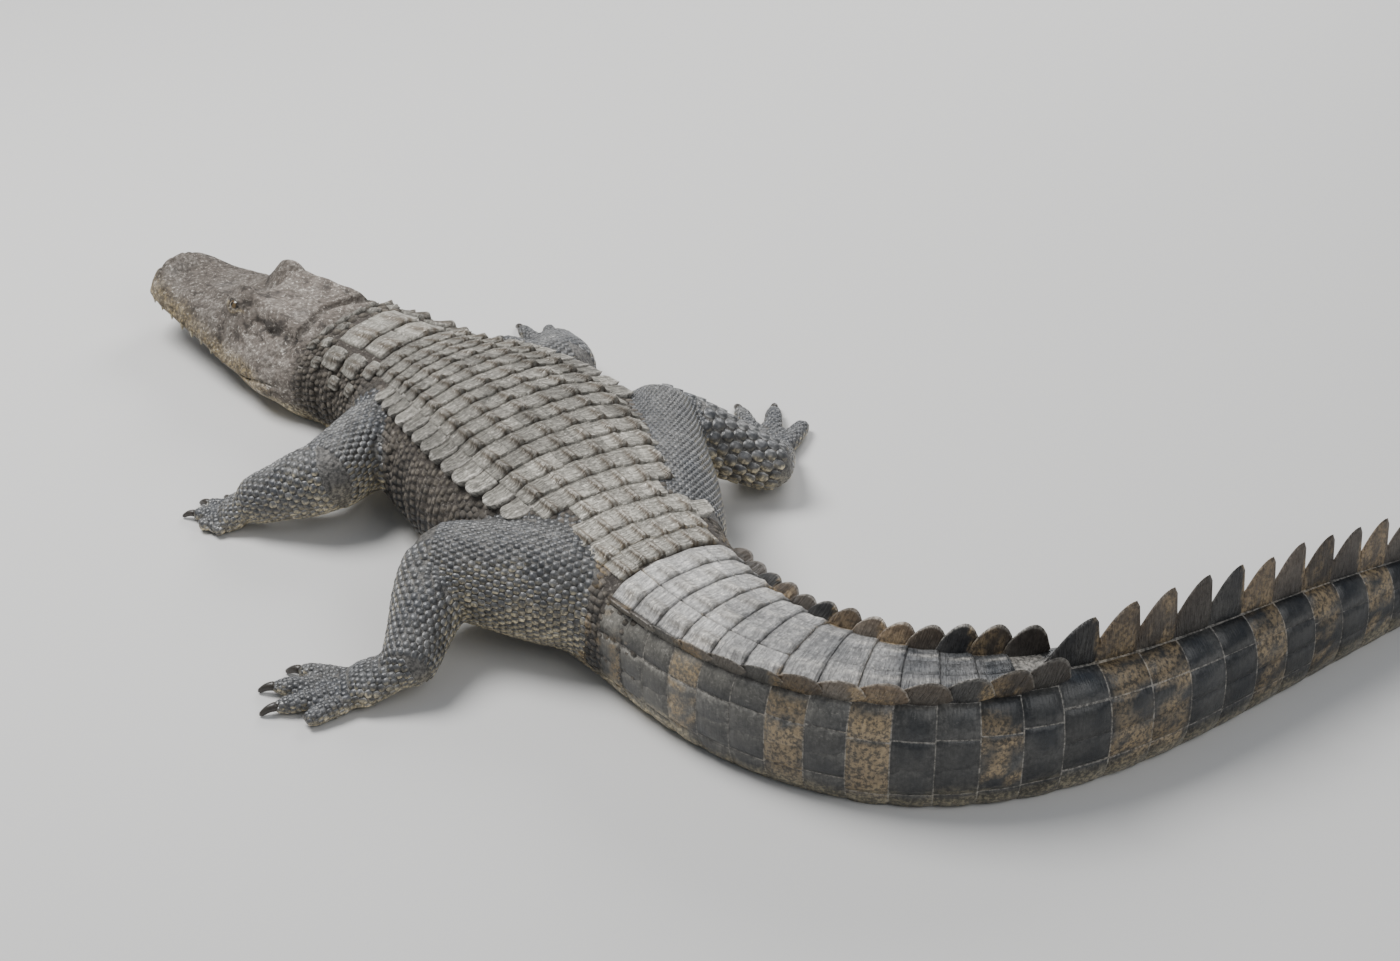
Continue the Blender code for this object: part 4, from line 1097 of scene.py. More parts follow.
def keeled_profile(thickness, keel, roundness, overhang, flare, sharp=0.34, rim_width=0.16, sides=1.0):
    """A plate with a keel along its middle that rises to the back, and a back edge that stands proud.

    Flare lifts one side edge, the one its sign names, into a lobe; sides is how dark the seams beside
    the plate are. The masks paint shade, with the keels' own brown, along both flanks of the keel, a painted
    highlight on its crest, and painted shade on the front of the plate, under the row ahead.
    """
    thickness, keel, roundness, overhang, flare, sides, rim_width = deep(*(
        np.broadcast_to(value, len(thickness))
        for value in (thickness, keel, roundness, overhang, flare, sides, rim_width)))
    sink = -0.0022

    def profile(u, v):
        outer = u * np.sign(flare)
        shape_u, shape_v = rounded(u, v, np.where((flare != 0) & (outer < 0), 0.1, roundness))
        edge = np.maximum(np.abs(u), np.abs(v))
        body = 1 - ease(0.94, 1.0, edge)
        ridge = np.clip(1 - np.abs(u) / sharp, 0, 1)
        rise = ease(-1.3, 0.85, v) * (1 - 0.8 * ease(0.86, 1.0, v))
        lift = sink + (thickness - sink) * body + keel * ridge * rise
        lift = lift + overhang * ease(-0.2, 0.9, v) * body
        cup = -0.0006 * bell(np.abs(u), 0.60, 0.25) * body
        lift = lift + cup + np.abs(flare) * ease(-0.3, 0.9, outer) * body
        rim = ease(1 - 2 * rim_width, 1 - rim_width, edge) * ease(1.0, 0.95, edge)
        rim = rim * np.maximum(ease(-0.2, 0.8, v), ease(0.5, 0.8, outer))
        # Painted shade: the keel mask darkens both flanks of the keel in the keel colour, the keels' own
        # brown mixed with shade on their sides.
        beside = bell(np.abs(u), 0.5 * sharp, 0.4 * sharp)
        ends, flanks = ease(0.93, 0.99, np.abs(v)), sides * ease(0.93, 0.99, np.abs(u))
        extra = {
            # Painted highlight: the second term of the rim mask paints the crest of the keel pale; the first
            # term is the plate's real pale rim.
            "rim": 0.9 * rim * ease(0.1, 0.9, roundness) + 0.40 * ease(0.80, 1.0, ridge) * rise,
            "keel": 0.9 * beside * ease(-1.3, 0.1, v) * (keel > 0.003),
            # Painted shade: the second term of the seam mask darkens the front of the plate, under the
            # overhanging row ahead; the first term is the dark seams at its edges.
            "seam": np.maximum(ends, flanks) + 0.40 * ease(-0.60, -0.9, v),
        }
        return shape_u, shape_v, lift, extra

    return profile


def scute_rows():
    """Stations, angles, lengths and widths of the keeled scutes of the trunk, widest at its middle."""
    props = bpy.context.scene.alligator_scutes
    rng = np.random.default_rng(SEED)
    row = np.arange(props.trunk_rows)
    share = np.linspace(0, 1, props.trunk_rows)
    share = share + 0.16 * share * (share - 1)
    base = TRUNK_START + 0.010 + (TRUNK_END - TRUNK_START - 0.022) * share
    pitch = np.gradient(base)
    fullness = np.sin(math.pi * (row + 1.2) / (props.trunk_rows + 1.4))
    found = []
    for column, share in enumerate(SCUTE_COLUMNS):
        outer = column == OUTER_COLUMN
        for sign in (-1, 1):
            used = (row > 0) & (row < props.trunk_rows - 1) & (fullness > 0.42) if outer else row >= 0
            full = fullness[used]
            at = base[used] + 0.0012 * rng.normal(size=len(full)) + (0.004 if outer else 0)
            angle = sign * angle_at(at, share * (0.93 + 0.07 * full))
            loose = 1 + 0.02 * rng.normal(size=len(full))
            width = curve(BODY, at)[:, 0] * (0.235 if outer else 0.258) * loose
            length = pitch[used] * (1.04 if outer else 1.16)
            found.append(np.stack([at, angle, length, width, np.full(len(full), column), full]))
    return np.concatenate(found, axis=1)


def pebble_profile(height, roundness=1.15, sink=-0.0010, point=0.0, rim=0.5):
    """A small domed scale with a low point towards its back."""
    def profile(u, v):
        shape_u, shape_v = rounded(u, v, roundness)
        reach = np.maximum(np.abs(u), np.abs(v))
        dome = 1 - reach**2.4
        peak = point * np.clip(1 - np.hypot(u, v - 0.25) / 0.75, 0, 1)
        extra = {"rim": rim * (1 - ease(0.0, 0.7, reach)), "seam": ease(0.5, 1.0, reach)}
        return shape_u, shape_v, sink + (height - sink) * dome + peak, extra

    return profile


def tile_profile(height, roundness=0.30, sink=-0.0008, rim=0.8, swell=0.0):
    """A flat scale that fills its place in a row, with narrow seams round it and a slight swell."""
    def profile(u, v):
        shape_u, shape_v = rounded(u, v, roundness)
        reach = np.maximum(np.abs(u), np.abs(v))
        dome = 1 - ease(0.90, 1.0, reach)
        lift = sink + (height - sink) * dome + swell * (1 - u**2) * (1 - v**2)
        # Painted shade: the seam mask darkens the front of the scale, under the scale ahead.
        extra = {"rim": rim * ease(0.93, 0.99, reach), "seam": 0.3 * ease(0.2, -0.98, v)}
        return shape_u, shape_v, lift, extra

    return profile


def field(draw, stations, span, size, stretch, profile, cells, jitter, limbs=True):
    """Small scales in staggered cross rows between two angles on both sides of the body."""
    rng = np.random.default_rng(SEED + len(stations))
    found = []
    pitch = abs(stations[1] - stations[0])
    for number, at in enumerate(stations):
        start, end = span(at)
        side, height = section(np.full(60, at), np.linspace(start, end, 60))
        width = size * (1 + 0.12 * math.sin(at * 40))
        count = max(int(np.hypot(np.diff(side), np.diff(height)).sum() / width), 1)
        middle, width = arc_places(at, start, end, count)
        step = (middle[1] - middle[0]) if count > 1 else 0.0
        middle = middle + (0.5 * step if number % 2 else 0.0)
        for sign in (-1, 1):
            loose = rng.normal(size=(2, count)) * jitter
            found.append(np.stack([
                at + pitch * loose[0], sign * (middle + step * loose[1]),
                np.full(count, pitch * stretch), np.full(count, width * 1.02) * (1 + 0.5 * loose[0]),
            ]))
    places = np.concatenate(found, axis=1)
    if limbs:
        places = places[:, showing(places[0], places[1])]
    return plates(draw, *places, profile(places[0][:, None, None]), cells, inner=0.62)


def fins(station, angle, length, height, thickness, lean, brown, blunt):
    """Crest scutes: blades with a thick root, a rounded front edge, a steep back and a thin rim.

    The grid's first axis runs along the tail, and its second from one root over the rim to the other.
    """
    station, angle, length, height, thickness, lean, brown = deep(
        station, angle, length, height, thickness, lean, brown)
    grids = np.meshgrid(np.linspace(-1, 1, 13), np.linspace(-1, 1, 11), indexing="ij")
    u, s = (grid[None] for grid in grids)
    w = 1 - np.abs(s) ** 1.25
    top = 0.72 - 0.50 * blunt
    rise = np.sin(math.pi / 2 * np.clip((u + 1) / (1 + top), 0, 1)) ** (0.80 - 0.25 * blunt)
    fall = np.sqrt(np.clip(1 - (np.clip(u - top, 0, 1) / (1.005 - top)) ** 2, 0, 1))
    tall = height * rise * fall
    at = station + length / 2 * u + length * (0.10 + 0.12 * blunt) * w * rise
    side, base = section(at, angle + 0 * at)
    out = np.sign(s) * thickness / 2 * (1 - w) ** 0.75 * (0.35 + 0.65 * fall)
    reach = tall * w - 0.0035 * (1 - w)
    side = side + reach * np.sin(lean) + out * np.cos(lean)
    points = place(at, side, base + reach * np.cos(lean) - out * np.sin(lean))
    count = len(station)
    masks = {
        "tone": np.random.default_rng(SEED + count).random(count)[:, None, None],
        "keel": brown * (0.35 + 0.65 * w), "across": reach, "along": length / 2 * u,
        "rim": 0.75 * ease(0.86, 1.0, w) * rise * blunt,
        "seam": 0.45 * ease(0.12, 0.0, w),
    }
    return grid_set(points, masks, map_place(station), 0.60 + 0.05 * np.sign(angle), u, s)


def crest_sets():
    """The paired crest scutes, which lie outwards in front and stand up behind, and the single row."""
    props = bpy.context.scene.alligator_scutes
    rng = np.random.default_rng(SEED + 3)
    at, ring = rings_of(tail_edges()[:props.double_rows + 1])
    grown = (at - TRUNK_END) / (CREST_MERGE - TRUNK_END)
    lean = np.radians(52 - 44 * grown**0.5)
    height = props.crest * (0.25 + 0.40 * grown)
    thickness = 0.0095 - 0.003 * grown
    sets = []
    for sign in (-1, 1):
        tall = height * (1 + 0.06 * rng.normal(size=len(at)))
        angle = sign * crest_angle(at)
        sets.append(fins(at, angle, 1.22 * ring, tall, thickness, sign * lean, banded(at), 1.0))
    at, ring = rings_of(tail_edges()[props.double_rows:])
    grown = (at - CREST_MERGE) / (TAIL_END - CREST_MERGE)
    height = props.crest * (0.16 + 0.84 * np.sin(math.pi * (0.30 + 0.62 * grown)) ** 1.1)
    height = height * (1 + 0.05 * rng.normal(size=len(at)))
    upright = np.zeros(len(at))
    sets.append(fins(at, upright, 1.12 * ring, height, 0.017 - 0.012 * grown, upright, banded(at), 0.15))
    return sets


def rings_of(edges):
    """Middles and lengths of the rings between stations."""
    return (edges[1:] + edges[:-1]) / 2, edges[1:] - edges[:-1]


def banded(station):
    """How brown the crest scutes of each ring are: those over a tan band and, less, the ones after it."""
    on_band = ring_band(station)
    return 0.08 + 0.90 * np.maximum(on_band, 0.55 * np.concatenate([[0], on_band[:-1]]))


def crest_angle(station):
    """Angle of the paired crests from the top of the tail, drawing in towards the single crest."""
    grown = np.clip((station - TRUNK_END) / (CREST_MERGE - TRUNK_END), 0, 1)
    return np.radians(52 - 33 * grown**1.5)


def tail_edges():
    """Stations between the rings of the tail, which grow longer towards the single crest, then shorter."""
    props = bpy.context.scene.alligator_scutes
    share = np.linspace(0, 1, props.double_rows + 1)
    start = TRUNK_END + 0.004
    first = start + (CREST_MERGE - TRUNK_END - 0.004) * (share + 0.12 * share * (share - 1))
    share = np.linspace(0, 1, props.single_rows + 1)
    second = CREST_MERGE + (TAIL_END - 0.02 - CREST_MERGE) * (share - 0.16 * share * (share - 1))
    return np.concatenate([first, second[1:]])


def tail_sets():
    """Rings of flat scales down the sides and under the tail, and rows on top between the crests."""
    rng = np.random.default_rng(SEED + 5)
    side_parts, top_parts = [], []
    for station, ring in zip(*rings_of(tail_edges())):
        crest = float(crest_angle(station)) if station < CREST_MERGE else 0.10
        count = 6 if station < 1.15 else (5 if station < 1.6 else 4)
        middle, width = arc_places(station, crest + 0.06, math.pi - 0.02, count)
        for sign in (-1, 1):
            widths = width * 1.015 * (1 + 0.01 * rng.normal(size=count))
            side_parts.append(np.stack([
                np.full(count, station), sign * middle, np.full(count, ring * 1.02), widths]))
            if station < CREST_MERGE - 0.03:
                top, top_width = arc_places(station, 0.0, crest - 0.02, 2 if station < 1.08 else 1)
                alike = np.ones(len(top))
                top_parts.append(np.stack([
                    alike * (station + 0.002), sign * top, alike * (ring * 1.06),
                    alike * (top_width * 1.05)]))
    side, top = np.concatenate(side_parts, axis=1), np.concatenate(top_parts, axis=1)
    side = side[:, (side[0] > 1.02) | showing(side[0], side[1])]
    keeled = keeled_profile(
        np.full(top.shape[1], 0.0020), 0.0045 * ease(1.20, 0.92, top[0]), 0.14, 0.0016, 0.0,
        sharp=0.40, rim_width=0.07, sides=0.4)
    return [
        plates(9, *side, tile_profile(0.0011, 0.07, swell=0.0010), 7),
        plates(8, *top, keeled, 11, paler=0.62),
    ]


def neck_sets():
    """Large keeled plates of the nape, smaller ones beside them, and a row behind the skull."""
    values = np.array([(row[0], sign * row[1], *row[2:]) for row in NAPE for sign in (-1, 1)])
    at, share, length, width, keel = values.T
    large = width > 0.04
    profile = keeled_profile(
        0.0024 + 0.20 * keel, keel, np.where(large, 0.14, 0.60), 0.30 * keel + 0.0010, 0.0,
        sharp=0.50, rim_width=0.08)
    light = np.where(large, 0.42, -0.06)[:, None, None]
    return [plates(4, at, angle_at(at, share), length, width, profile, 15, 0.90, light)]


def field_sets():
    """Pebbles of the neck, scales of the flanks and squarish plates of the belly."""
    neck = field(
        4, np.arange(0.284, 0.425, 0.0078), lambda at: (0.62 if at < 0.40 else 0.95, 2.55), 0.0082, 1.22,
        lambda at: pebble_profile(0.0004 + 0.0018 * ease(0.280, 0.312, at), 1.1, point=0.0010), 6, 0.12)
    nape = field(
        12, np.arange(0.284, 0.325, 0.0105), lambda at: (0.03, 0.75), 0.0112, 1.15,
        lambda at: pebble_profile(0.0026, 1.0, point=0.0008), 6, 0.14)
    flank = field(
        5, np.arange(0.425, 0.945, 0.0088), lambda at: (0.92 if 0.46 < at < 0.84 else 0.76, 2.50), 0.0098,
        1.15, lambda at: pebble_profile(0.0014, 0.70, point=0.0004, rim=0.7), 6, 0.07)
    belly = field(
        5, np.arange(0.300, 0.900, 0.0170), lambda at: (2.50, 3.12), 0.0150, 1.04,
        lambda at: tile_profile(0.0008, 0.20), 5, 0.02, False)
    return [neck, nape, flank], [belly]


def seat(points, number):
    """The nearest places on one limb's skin to some points, its direction there, and how far it is."""
    mine = made["skin_part"] == number
    targets, normals = made["skin_points"][mine], made["skin_normals"][mine]
    index, gap = nearest(points, targets)
    normal = normals[index]
    lift = ((points - targets[index]) * normal).sum(axis=1)
    return points - lift[:, None] * normal, normal, gap


def spaced(points, gap):
    """Which points stay when each one that is nearer than its gap to an earlier kept one is dropped."""
    near = ((points[:, None] - points[None]) ** 2).sum(axis=2) < gap[:, None] ** 2
    keep = np.ones(len(points), bool)
    for number in range(len(points)):
        if keep[number]:
            keep[number + 1:] &= ~near[number, number + 1:]
    return keep


def ring_roots(start, end, radii, size, stretch):
    """Staggered rings of places round a segment: points, direction, and scales' length and width."""
    length = np.linalg.norm(end - start)
    ahead = (end - start) / length
    across = np.cross(ahead, (0, 0, 1))
    across /= np.linalg.norm(across)
    up = np.cross(across, ahead)
    rings = np.arange(0, length + 0.3 * size, size * stretch * 0.88)
    radius = np.interp(rings / length, (0, 1), radii)
    count = max(int(2 * math.pi * radius.mean() / size), 5)
    turn = (np.arange(count)[None] + 0.5 * (np.arange(len(rings)) % 2)[:, None]) / count * 2 * math.pi
    out = np.cos(turn)[..., None] * across + np.sin(turn)[..., None] * up
    points = start + rings[:, None, None] * ahead + radius[:, None, None] * out
    width = np.broadcast_to(2 * math.pi * radius[:, None] / count, turn.shape).reshape(-1)
    sizes = np.full(turn.size, size * stretch)
    return np.c_[points.reshape(-1, 3), np.tile(ahead, (turn.size, 1)), sizes, width]


def limb_roots(name):
    """Places of all scales of a limb, from the shoulder or hip to the toes."""
    joints, radii, paw = limb_parts(name)
    upper, lower, small = LIMB_SCALES[name]
    palm_end = joints[2] + (joints[3] - joints[2]) * PALM_SHARE
    palm_end[2] = 0.010
    rings = [
        ring_roots(joints[0], joints[1], radii[0][::2], upper, 1.05),
        ring_roots(joints[1], joints[2], radii[1][::2], lower, 0.95),
        ring_roots(joints[2], palm_end, (radii[1][2] * 0.9, radii[1][2]), small, 1.0),
    ]
    radius = TOE_RADIUS[paw]
    for path, _, _ in toe_paths(name):
        end = path[-1] - 0.004 * (path[-1] - path[-2])
        rings.append(ring_roots(path[2], end, (radius, radius * 0.85), TOE_SCALE, 0.80))
    return np.concatenate(rings)


def seated_scales(root, normal, ahead, length, width, number):
    """Keeled scales on the skin, each bent to the skin's slope and curvature at its root.

    The height is a quadratic in each direction, fitted to the skin before, behind and beside the root.
    """
    rng = np.random.default_rng(SEED + number)
    ahead = ahead - (ahead * normal).sum(axis=1)[:, None] * normal
    ahead /= np.maximum(np.linalg.norm(ahead, axis=1), 1e-6)[:, None]
    across = np.cross(normal, ahead)
    bends = []
    for axis, half in ((across, 0.4 * width), (ahead, 0.4 * length)):
        heights = []
        for sign in (-1, 1):
            there, _, _ = seat(root + sign * half[:, None] * axis, number)
            heights.append(np.clip(((there - root) * normal).sum(axis=1), -0.6 * half, 0.6 * half))
        bends += [(heights[1] - heights[0]) / 2, (heights[1] + heights[0]) / 2]
    line = np.array([-1, -0.76, 0, 0.76, 1])
    u, v = np.meshgrid(line, line, indexing="ij")
    shape_u, shape_v = rounded(u, v, 1.05)
    edge = np.maximum(np.abs(u), np.abs(v))
    dome = np.where(edge > 0.99, -0.09, 0.09 + 0.09 * (1 - u**2) * ease(-1.0, 0.4, v))
    half_u, half_v, slope_u, bow_u, slope_v, bow_v = deep(width / 2, length / 2, *bends)
    x, y = shape_u / 0.8, shape_v / 0.8
    lift = 2 * np.sqrt(half_u * half_v) * dome + slope_u * x + bow_u * x**2 + slope_v * y + bow_v * y**2
    root_grid, across, ahead, normal = (array[:, None, None] for array in (root, across, ahead, normal))
    points = root_grid + (half_u * shape_u)[..., None] * across
    points = points + (half_v * shape_v)[..., None] * ahead + lift[..., None] * normal
    points[..., 2] = np.maximum(points[..., 2], 0.0)
    masks = {
        "tone": 0.1 + 0.8 * rng.random(len(root))[:, None, None],
        "across": half_u * shape_u, "along": half_v * shape_v, "rim": np.where(edge > 0.99, 1.0, 0.0),
    }
    station, side = body_places(root)
    return grid_set(points, masks, *deep(map_place(station), 0.80 + root[:, 2] + 0.05 * side), u, v)


def limb_scales(name):
    """The scales of one limb: rings of places drawn to the skin and thinned where they crowd."""
    number = list(LIMBS).index(name) + 1
    roots = limb_roots(name)
    root, normal, gap = seat(roots[:, :3], number)
    keep = (gap < 0.016) & (root[:, 2] > 0.0025)
    keep[keep] = spaced(root[keep], 0.66 * np.minimum(roots[keep, 6], roots[keep, 7]))
    root, normal, roots = root[keep], normal[keep], roots[keep]
    loose = 1 + 0.05 * np.random.default_rng(SEED + number).normal(size=(2, len(root)))
    length, width = roots[:, 6] * 1.12 * loose[0], roots[:, 7] * 1.02 * loose[1]
    return seated_scales(root, normal, roots[:, 3:6], length, width, number)


def join_scales():
    """Small scales on the softened skin round the roots of the limbs, which the other scales leave bare."""
    points, normals = made["skin_points"], made["skin_normals"]
    mine = np.flatnonzero(made["skin_near_join"] & (made["skin_part"] == 0) & (points[:, 2] > 0.01))
    mine = mine[np.random.default_rng(SEED).permutation(len(mine))]
    mine = mine[spaced(points[mine], np.full(len(mine), 0.0062))]
    station, _ = body_places(points[mine])
    heading = np.interp(station, SPINE[0], SPINE[1])
    ahead = np.stack([np.cos(heading), -np.sin(heading), 0 * heading], axis=-1)
    size = 1 + 0.10 * np.random.default_rng(SEED + 9).normal(size=(2, len(mine)))
    return seated_scales(points[mine], normals[mine], ahead, 0.0096 * size[0], 0.0086 * size[1], 0)


def eye_mesh(sign):
    """An eyeball of rings round its line of sight, with the cornea standing slightly proud."""
    centre, ahead, up, gaze = eye_frame(sign)
    turn = np.linspace(0.02, math.pi - 0.02, 40)[:, None]
    round_angle = np.linspace(0, 2 * math.pi, 56, endpoint=False)[None]
    radius = EYE_RADIUS + 0.0007 * bell(turn, 0, 0.55)
    level, tall = np.sin(turn) * np.cos(round_angle), np.sin(turn) * np.sin(round_angle)
    rings = centre + radius[..., None] * (
        level[..., None] * ahead + tall[..., None] * up + (np.cos(turn) + 0 * level)[..., None] * gaze)
    points, faces = closed_tube(rings)
    away = points - centre
    return points, faces, {"level": away @ ahead / EYE_RADIUS, "tall": away @ up / EYE_RADIUS}


def eye_material():
    """A brown iris round an upright slit, darker at its edge, under a wet coat."""
    surface, graph, shader = new_material("eye")
    level, tall = graph.mask("level"), graph.mask("tall")
    reach = graph.math("SQRT", graph.math("ADD", graph.times(level, level), graph.times(tall, tall)))
    flecks = graph.span(graph.noise(graph.position(), 900, 4.0, 0.6), 0.35, 0.65)
    brown = graph.mix(flecks, (0.050, 0.030, 0.013, 1), (0.150, 0.098, 0.038, 1))
    brown = graph.mix(graph.span(reach, 0.42, 0.66), brown, (0.020, 0.014, 0.009, 1))
    width = graph.span(graph.times(tall, tall), 0.0, 0.20, 0.115, 0.0)
    slit = graph.math("SUBTRACT", graph.math("ABSOLUTE", level), width)
    colour = graph.mix(graph.span(slit, -0.01, 0.02), (0.003, 0.003, 0.003, 1), brown)
    graph.fill(
        shader, ("Base Color", colour), ("Roughness", 0.22), ("Coat Weight", 1.0),
        ("Coat Roughness", 0.04))
    return surface


def plain_material(name, colour, roughness, gloss):
    """A single colour that a fine noise makes uneven."""
    surface, graph, shader = new_material(name)
    fine = graph.span(graph.noise(graph.position(), 500, 3.0, 0.6), 0.35, 0.65)
    dark = (0.55 * value for value in colour)
    uneven = graph.mix(fine, (*dark, 1), (*colour, 1))
    graph.fill(shader, ("Base Color", uneven), ("Roughness", roughness), ("Specular IOR Level", gloss))
    return surface


def cone(base, tip, bow, radius, blunt=0.16):
    """A bowed cone with a rounded root and point, for claws and teeth."""
    run = np.linspace(0, 1, 13)[:, None]
    path = base + run * (tip - base) + np.sin(math.pi * run) * bow
    width = radius * np.sqrt(np.clip(1 - (1 - blunt) * run[:, 0] ** 1.2, 0, 1))
    width = width * np.where(run[:, 0] == 1, 0.35, 1) * (0.75 + 0.25 * ease(0, 0.15, run[:, 0]))
    return closed_tube(tube_rings(path, width, 12))


def joined_tubes(name, tubes):
    """One object from several closed tubes, their quads before their fans."""
    starts = np.cumsum([0] + [len(points) for points, _ in tubes])
    blocks = [
        np.concatenate([faces[kind] + start for start, (_, faces) in zip(starts, tubes)])
        for kind in (0, 1)]
    return outward(make_object(name, np.concatenate([points for points, _ in tubes]), blocks))


def claw_tubes():
    """A bowed claw at the end of each of the three inner toes of every paw."""
    tubes = []
    for name in LIMBS:
        paw = limb_parts(name)[2]
        for path, ahead, has_claw in toe_paths(name):
            if has_claw:
                base = path[-1] - 0.002 * ahead + (0, 0, 0.001)
                tip = path[-1] + CLAW_LENGTH[paw] * ahead
                tip[2] = 0.0012
                tubes.append(cone(base, tip, np.array((0, 0, 0.0022)), 0.46 * TOE_RADIUS[paw]))
    return tubes


def tooth_tubes():
    """Upper teeth that hang outside the lower jaw, the fourth and fifth the largest."""
    tubes = []
    for number, along in enumerate(TEETH):
        half, _, lip = curve(SKULL, along)
        size = 1.0 + 0.45 * bell(number, 3.5, 1.2)
        for sign in (-1, 1):
            base = on_head(along, sign * (half - 0.0010), lip + 0.0024)
            tip = on_head(along + 0.0008, sign * (half - 0.0004), lip - 0.0044 * size)
            tubes.append(cone(base, tip, np.zeros(3), 0.0016 * size, 0.05))
    return tubes


class ColourProps(bpy.types.PropertyGroup):
    dark: FloatVectorProperty(
        name="Dark ground", description="Blue-black of the tail and legs", subtype="COLOR",
        default=(0.0125, 0.0150, 0.0185), min=0, max=1)
    mud: FloatVectorProperty(
        name="Dried mud", description="Grey-brown of the back and head", subtype="COLOR",
        default=(0.248, 0.233, 0.200), min=0, max=1)
    tan: FloatVectorProperty(
        name="Tan bands", description="Bands of the flank and tail", subtype="COLOR",
        default=(0.250, 0.185, 0.105), min=0, max=1)
    cream: FloatVectorProperty(
        name="Cream underside", description="Undersides of the body and limbs", subtype="COLOR",
        default=(0.52, 0.44, 0.28), min=0, max=1)
    jaw: FloatVectorProperty(
        name="Jaw edge", description="Mottled yellow of the jaws", subtype="COLOR",
        default=(0.24, 0.185, 0.10), min=0, max=1)
    # Pale rims: the worn rims of scales and scutes, and a painted highlight on the crests of keels.
    rim: FloatVectorProperty(
        name="Pale rims", description="Worn rims of scales and scutes", subtype="COLOR",
        default=(0.46, 0.43, 0.38), min=0, max=1)
    # Keel colour: the keels' brown mixed with painted shade along the flanks of the keels of scutes and
    # plates.
    keel: FloatVectorProperty(
        name="Keels", description="Brown of the keels", subtype="COLOR",
        default=(0.088, 0.068, 0.048), min=0, max=1)


class ScuteProps(bpy.types.PropertyGroup):
    trunk_rows: IntProperty(
        name="Rows on the trunk", description="Cross rows of scutes", default=20, min=8, max=24)
    keel: FloatProperty(
        name="Keel height", description="Height of the tallest keels of the back", unit="LENGTH",
        default=0.0072, min=0.0, max=0.02)
    thickness: FloatProperty(
        name="Thickness", description="How far a scute stands above the skin", unit="LENGTH",
        default=0.0024, min=0.0005, max=0.006)
    double_rows: IntProperty(
        name="Double crest", description="Pairs of crest scutes", default=13, min=8, max=24)
    single_rows: IntProperty(
        name="Single crest", description="Fins of the single crest", default=17, min=8, max=28)
    crest: FloatProperty(
        name="Crest height", description="Height of the tallest fin of the tail", unit="LENGTH",
        default=0.054, min=0.01, max=0.07)


class StageProps(bpy.types.PropertyGroup):
    floor: FloatVectorProperty(
        name="Floor", description="Colour of the floor", subtype="COLOR",
        default=(0.62, 0.61, 0.59), min=0, max=1)
    light: FloatProperty(
        name="Light", description="Power of the main soft light", unit="POWER", default=118.0, min=0)


class ALLIGATOR_OT_skin(bpy.types.Operator):
    """Builds the skin of the whole animal as one surface"""

    bl_idname = "alligator.skin"
    bl_label = "Skin"

    def execute(self, context):
        made["hide_group"], made["relief_group"] = hide_group(), relief_group()
        body = outward(make_object("alligator_skin", *closed_tube(body_mesh())))
        mark_source(body, 0)
        limbs = [limb_object(name) for name in LIMBS]
        for number, limb in enumerate(limbs):
            mark_source(limb, number + 1)
            union = body.modifiers.new("union", "BOOLEAN")
            union.operation = "UNION"
            union.solver = "MANIFOLD"
            union.object = limb
        applied(body)
        for limb in limbs:
            bpy.data.objects.remove(limb)
        part = soften_joins(body.data)
        points, normals = read_points(body.data), read_normals(body.data)
        made["skin_points"], made["skin_normals"], made["skin_part"] = points, normals, part
        write_masks(body.data, skin_masks(points, normals, part))
        body.data.shade_smooth()
        colours = hide_colours(Mud=(0.106, 0.089, 0.075))
        material = hide_material("hide", colours, (0.9, 300.0, 0.0, 0.6), 1.0, 0.70)
        flesh = [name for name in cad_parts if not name.startswith("eye")]
        finish_piece(body, material, "head_skin", *flesh)
        return {"FINISHED"}


class ALLIGATOR_OT_trunk_scutes(bpy.types.Operator):
    """Lays the rows of keeled scutes over the trunk"""

    bl_idname = "alligator.trunk_scutes"
    bl_label = "Trunk scutes"

    def execute(self, context):
        props = context.scene.alligator_scutes
        rows = scute_rows()
        at, angle, length, width, column, fullness = rows[:, showing(rows[0], rows[1])]
        keel = props.keel * (0.62 + 0.38 * fullness) * np.array(SCUTE_KEELS)[column.astype(int)]
        lobe = column == OUTER_COLUMN
        profile = keeled_profile(
            np.full(len(at), props.thickness), keel, np.where(lobe, 1.15, 0.10),
            np.where(lobe, 0.0012, 0.0022), 0.0066 * np.sign(angle) * lobe, 0.37,
            rim_width=np.where(lobe, 0.28, 0.16), sides=np.where(lobe, 0.6, 0.10))
        light = 0.06 + 0.72 * ease(0.64, 0.86, at)[:, None, None]
        scutes = plates(5, at, angle, length, width, profile, 13, 0.92, light)
        material = hide_material("scute", hide_colours(), PLATE_RELIEF, 0.9, 1.0, 0.35, 0.42)
        finish_piece(joined("trunk_scutes", [scutes]), material, "back_scutes")
        return {"FINISHED"}


class ALLIGATOR_OT_neck_plates(bpy.types.Operator):
    """Sets the keeled plates of the nape and behind the skull"""

    bl_idname = "alligator.neck_plates"
    bl_label = "Neck plates"

    def execute(self, context):
        material = hide_material("nape plate", hide_colours(), PLATE_RELIEF, 0.8, 1.0, 0.35, 0.30)
        finish_piece(joined("neck_plates", neck_sets()), material, "neck_skin")
        return {"FINISHED"}


class ALLIGATOR_OT_crests(bpy.types.Operator):
    """Stands the paired and single crest scutes along the tail"""

    bl_idname = "alligator.crests"
    bl_label = "Crests"

    def execute(self, context):
        colours = hide_colours(Keel=(0.150, 0.108, 0.070))
        material = hide_material("crest", colours, (0.0, 420.0, 0.9, 0.4), 0.8, 0.6, 0.45)
        finish_piece(joined("tail_crests", crest_sets()), material, "tail_skin")
        return {"FINISHED"}


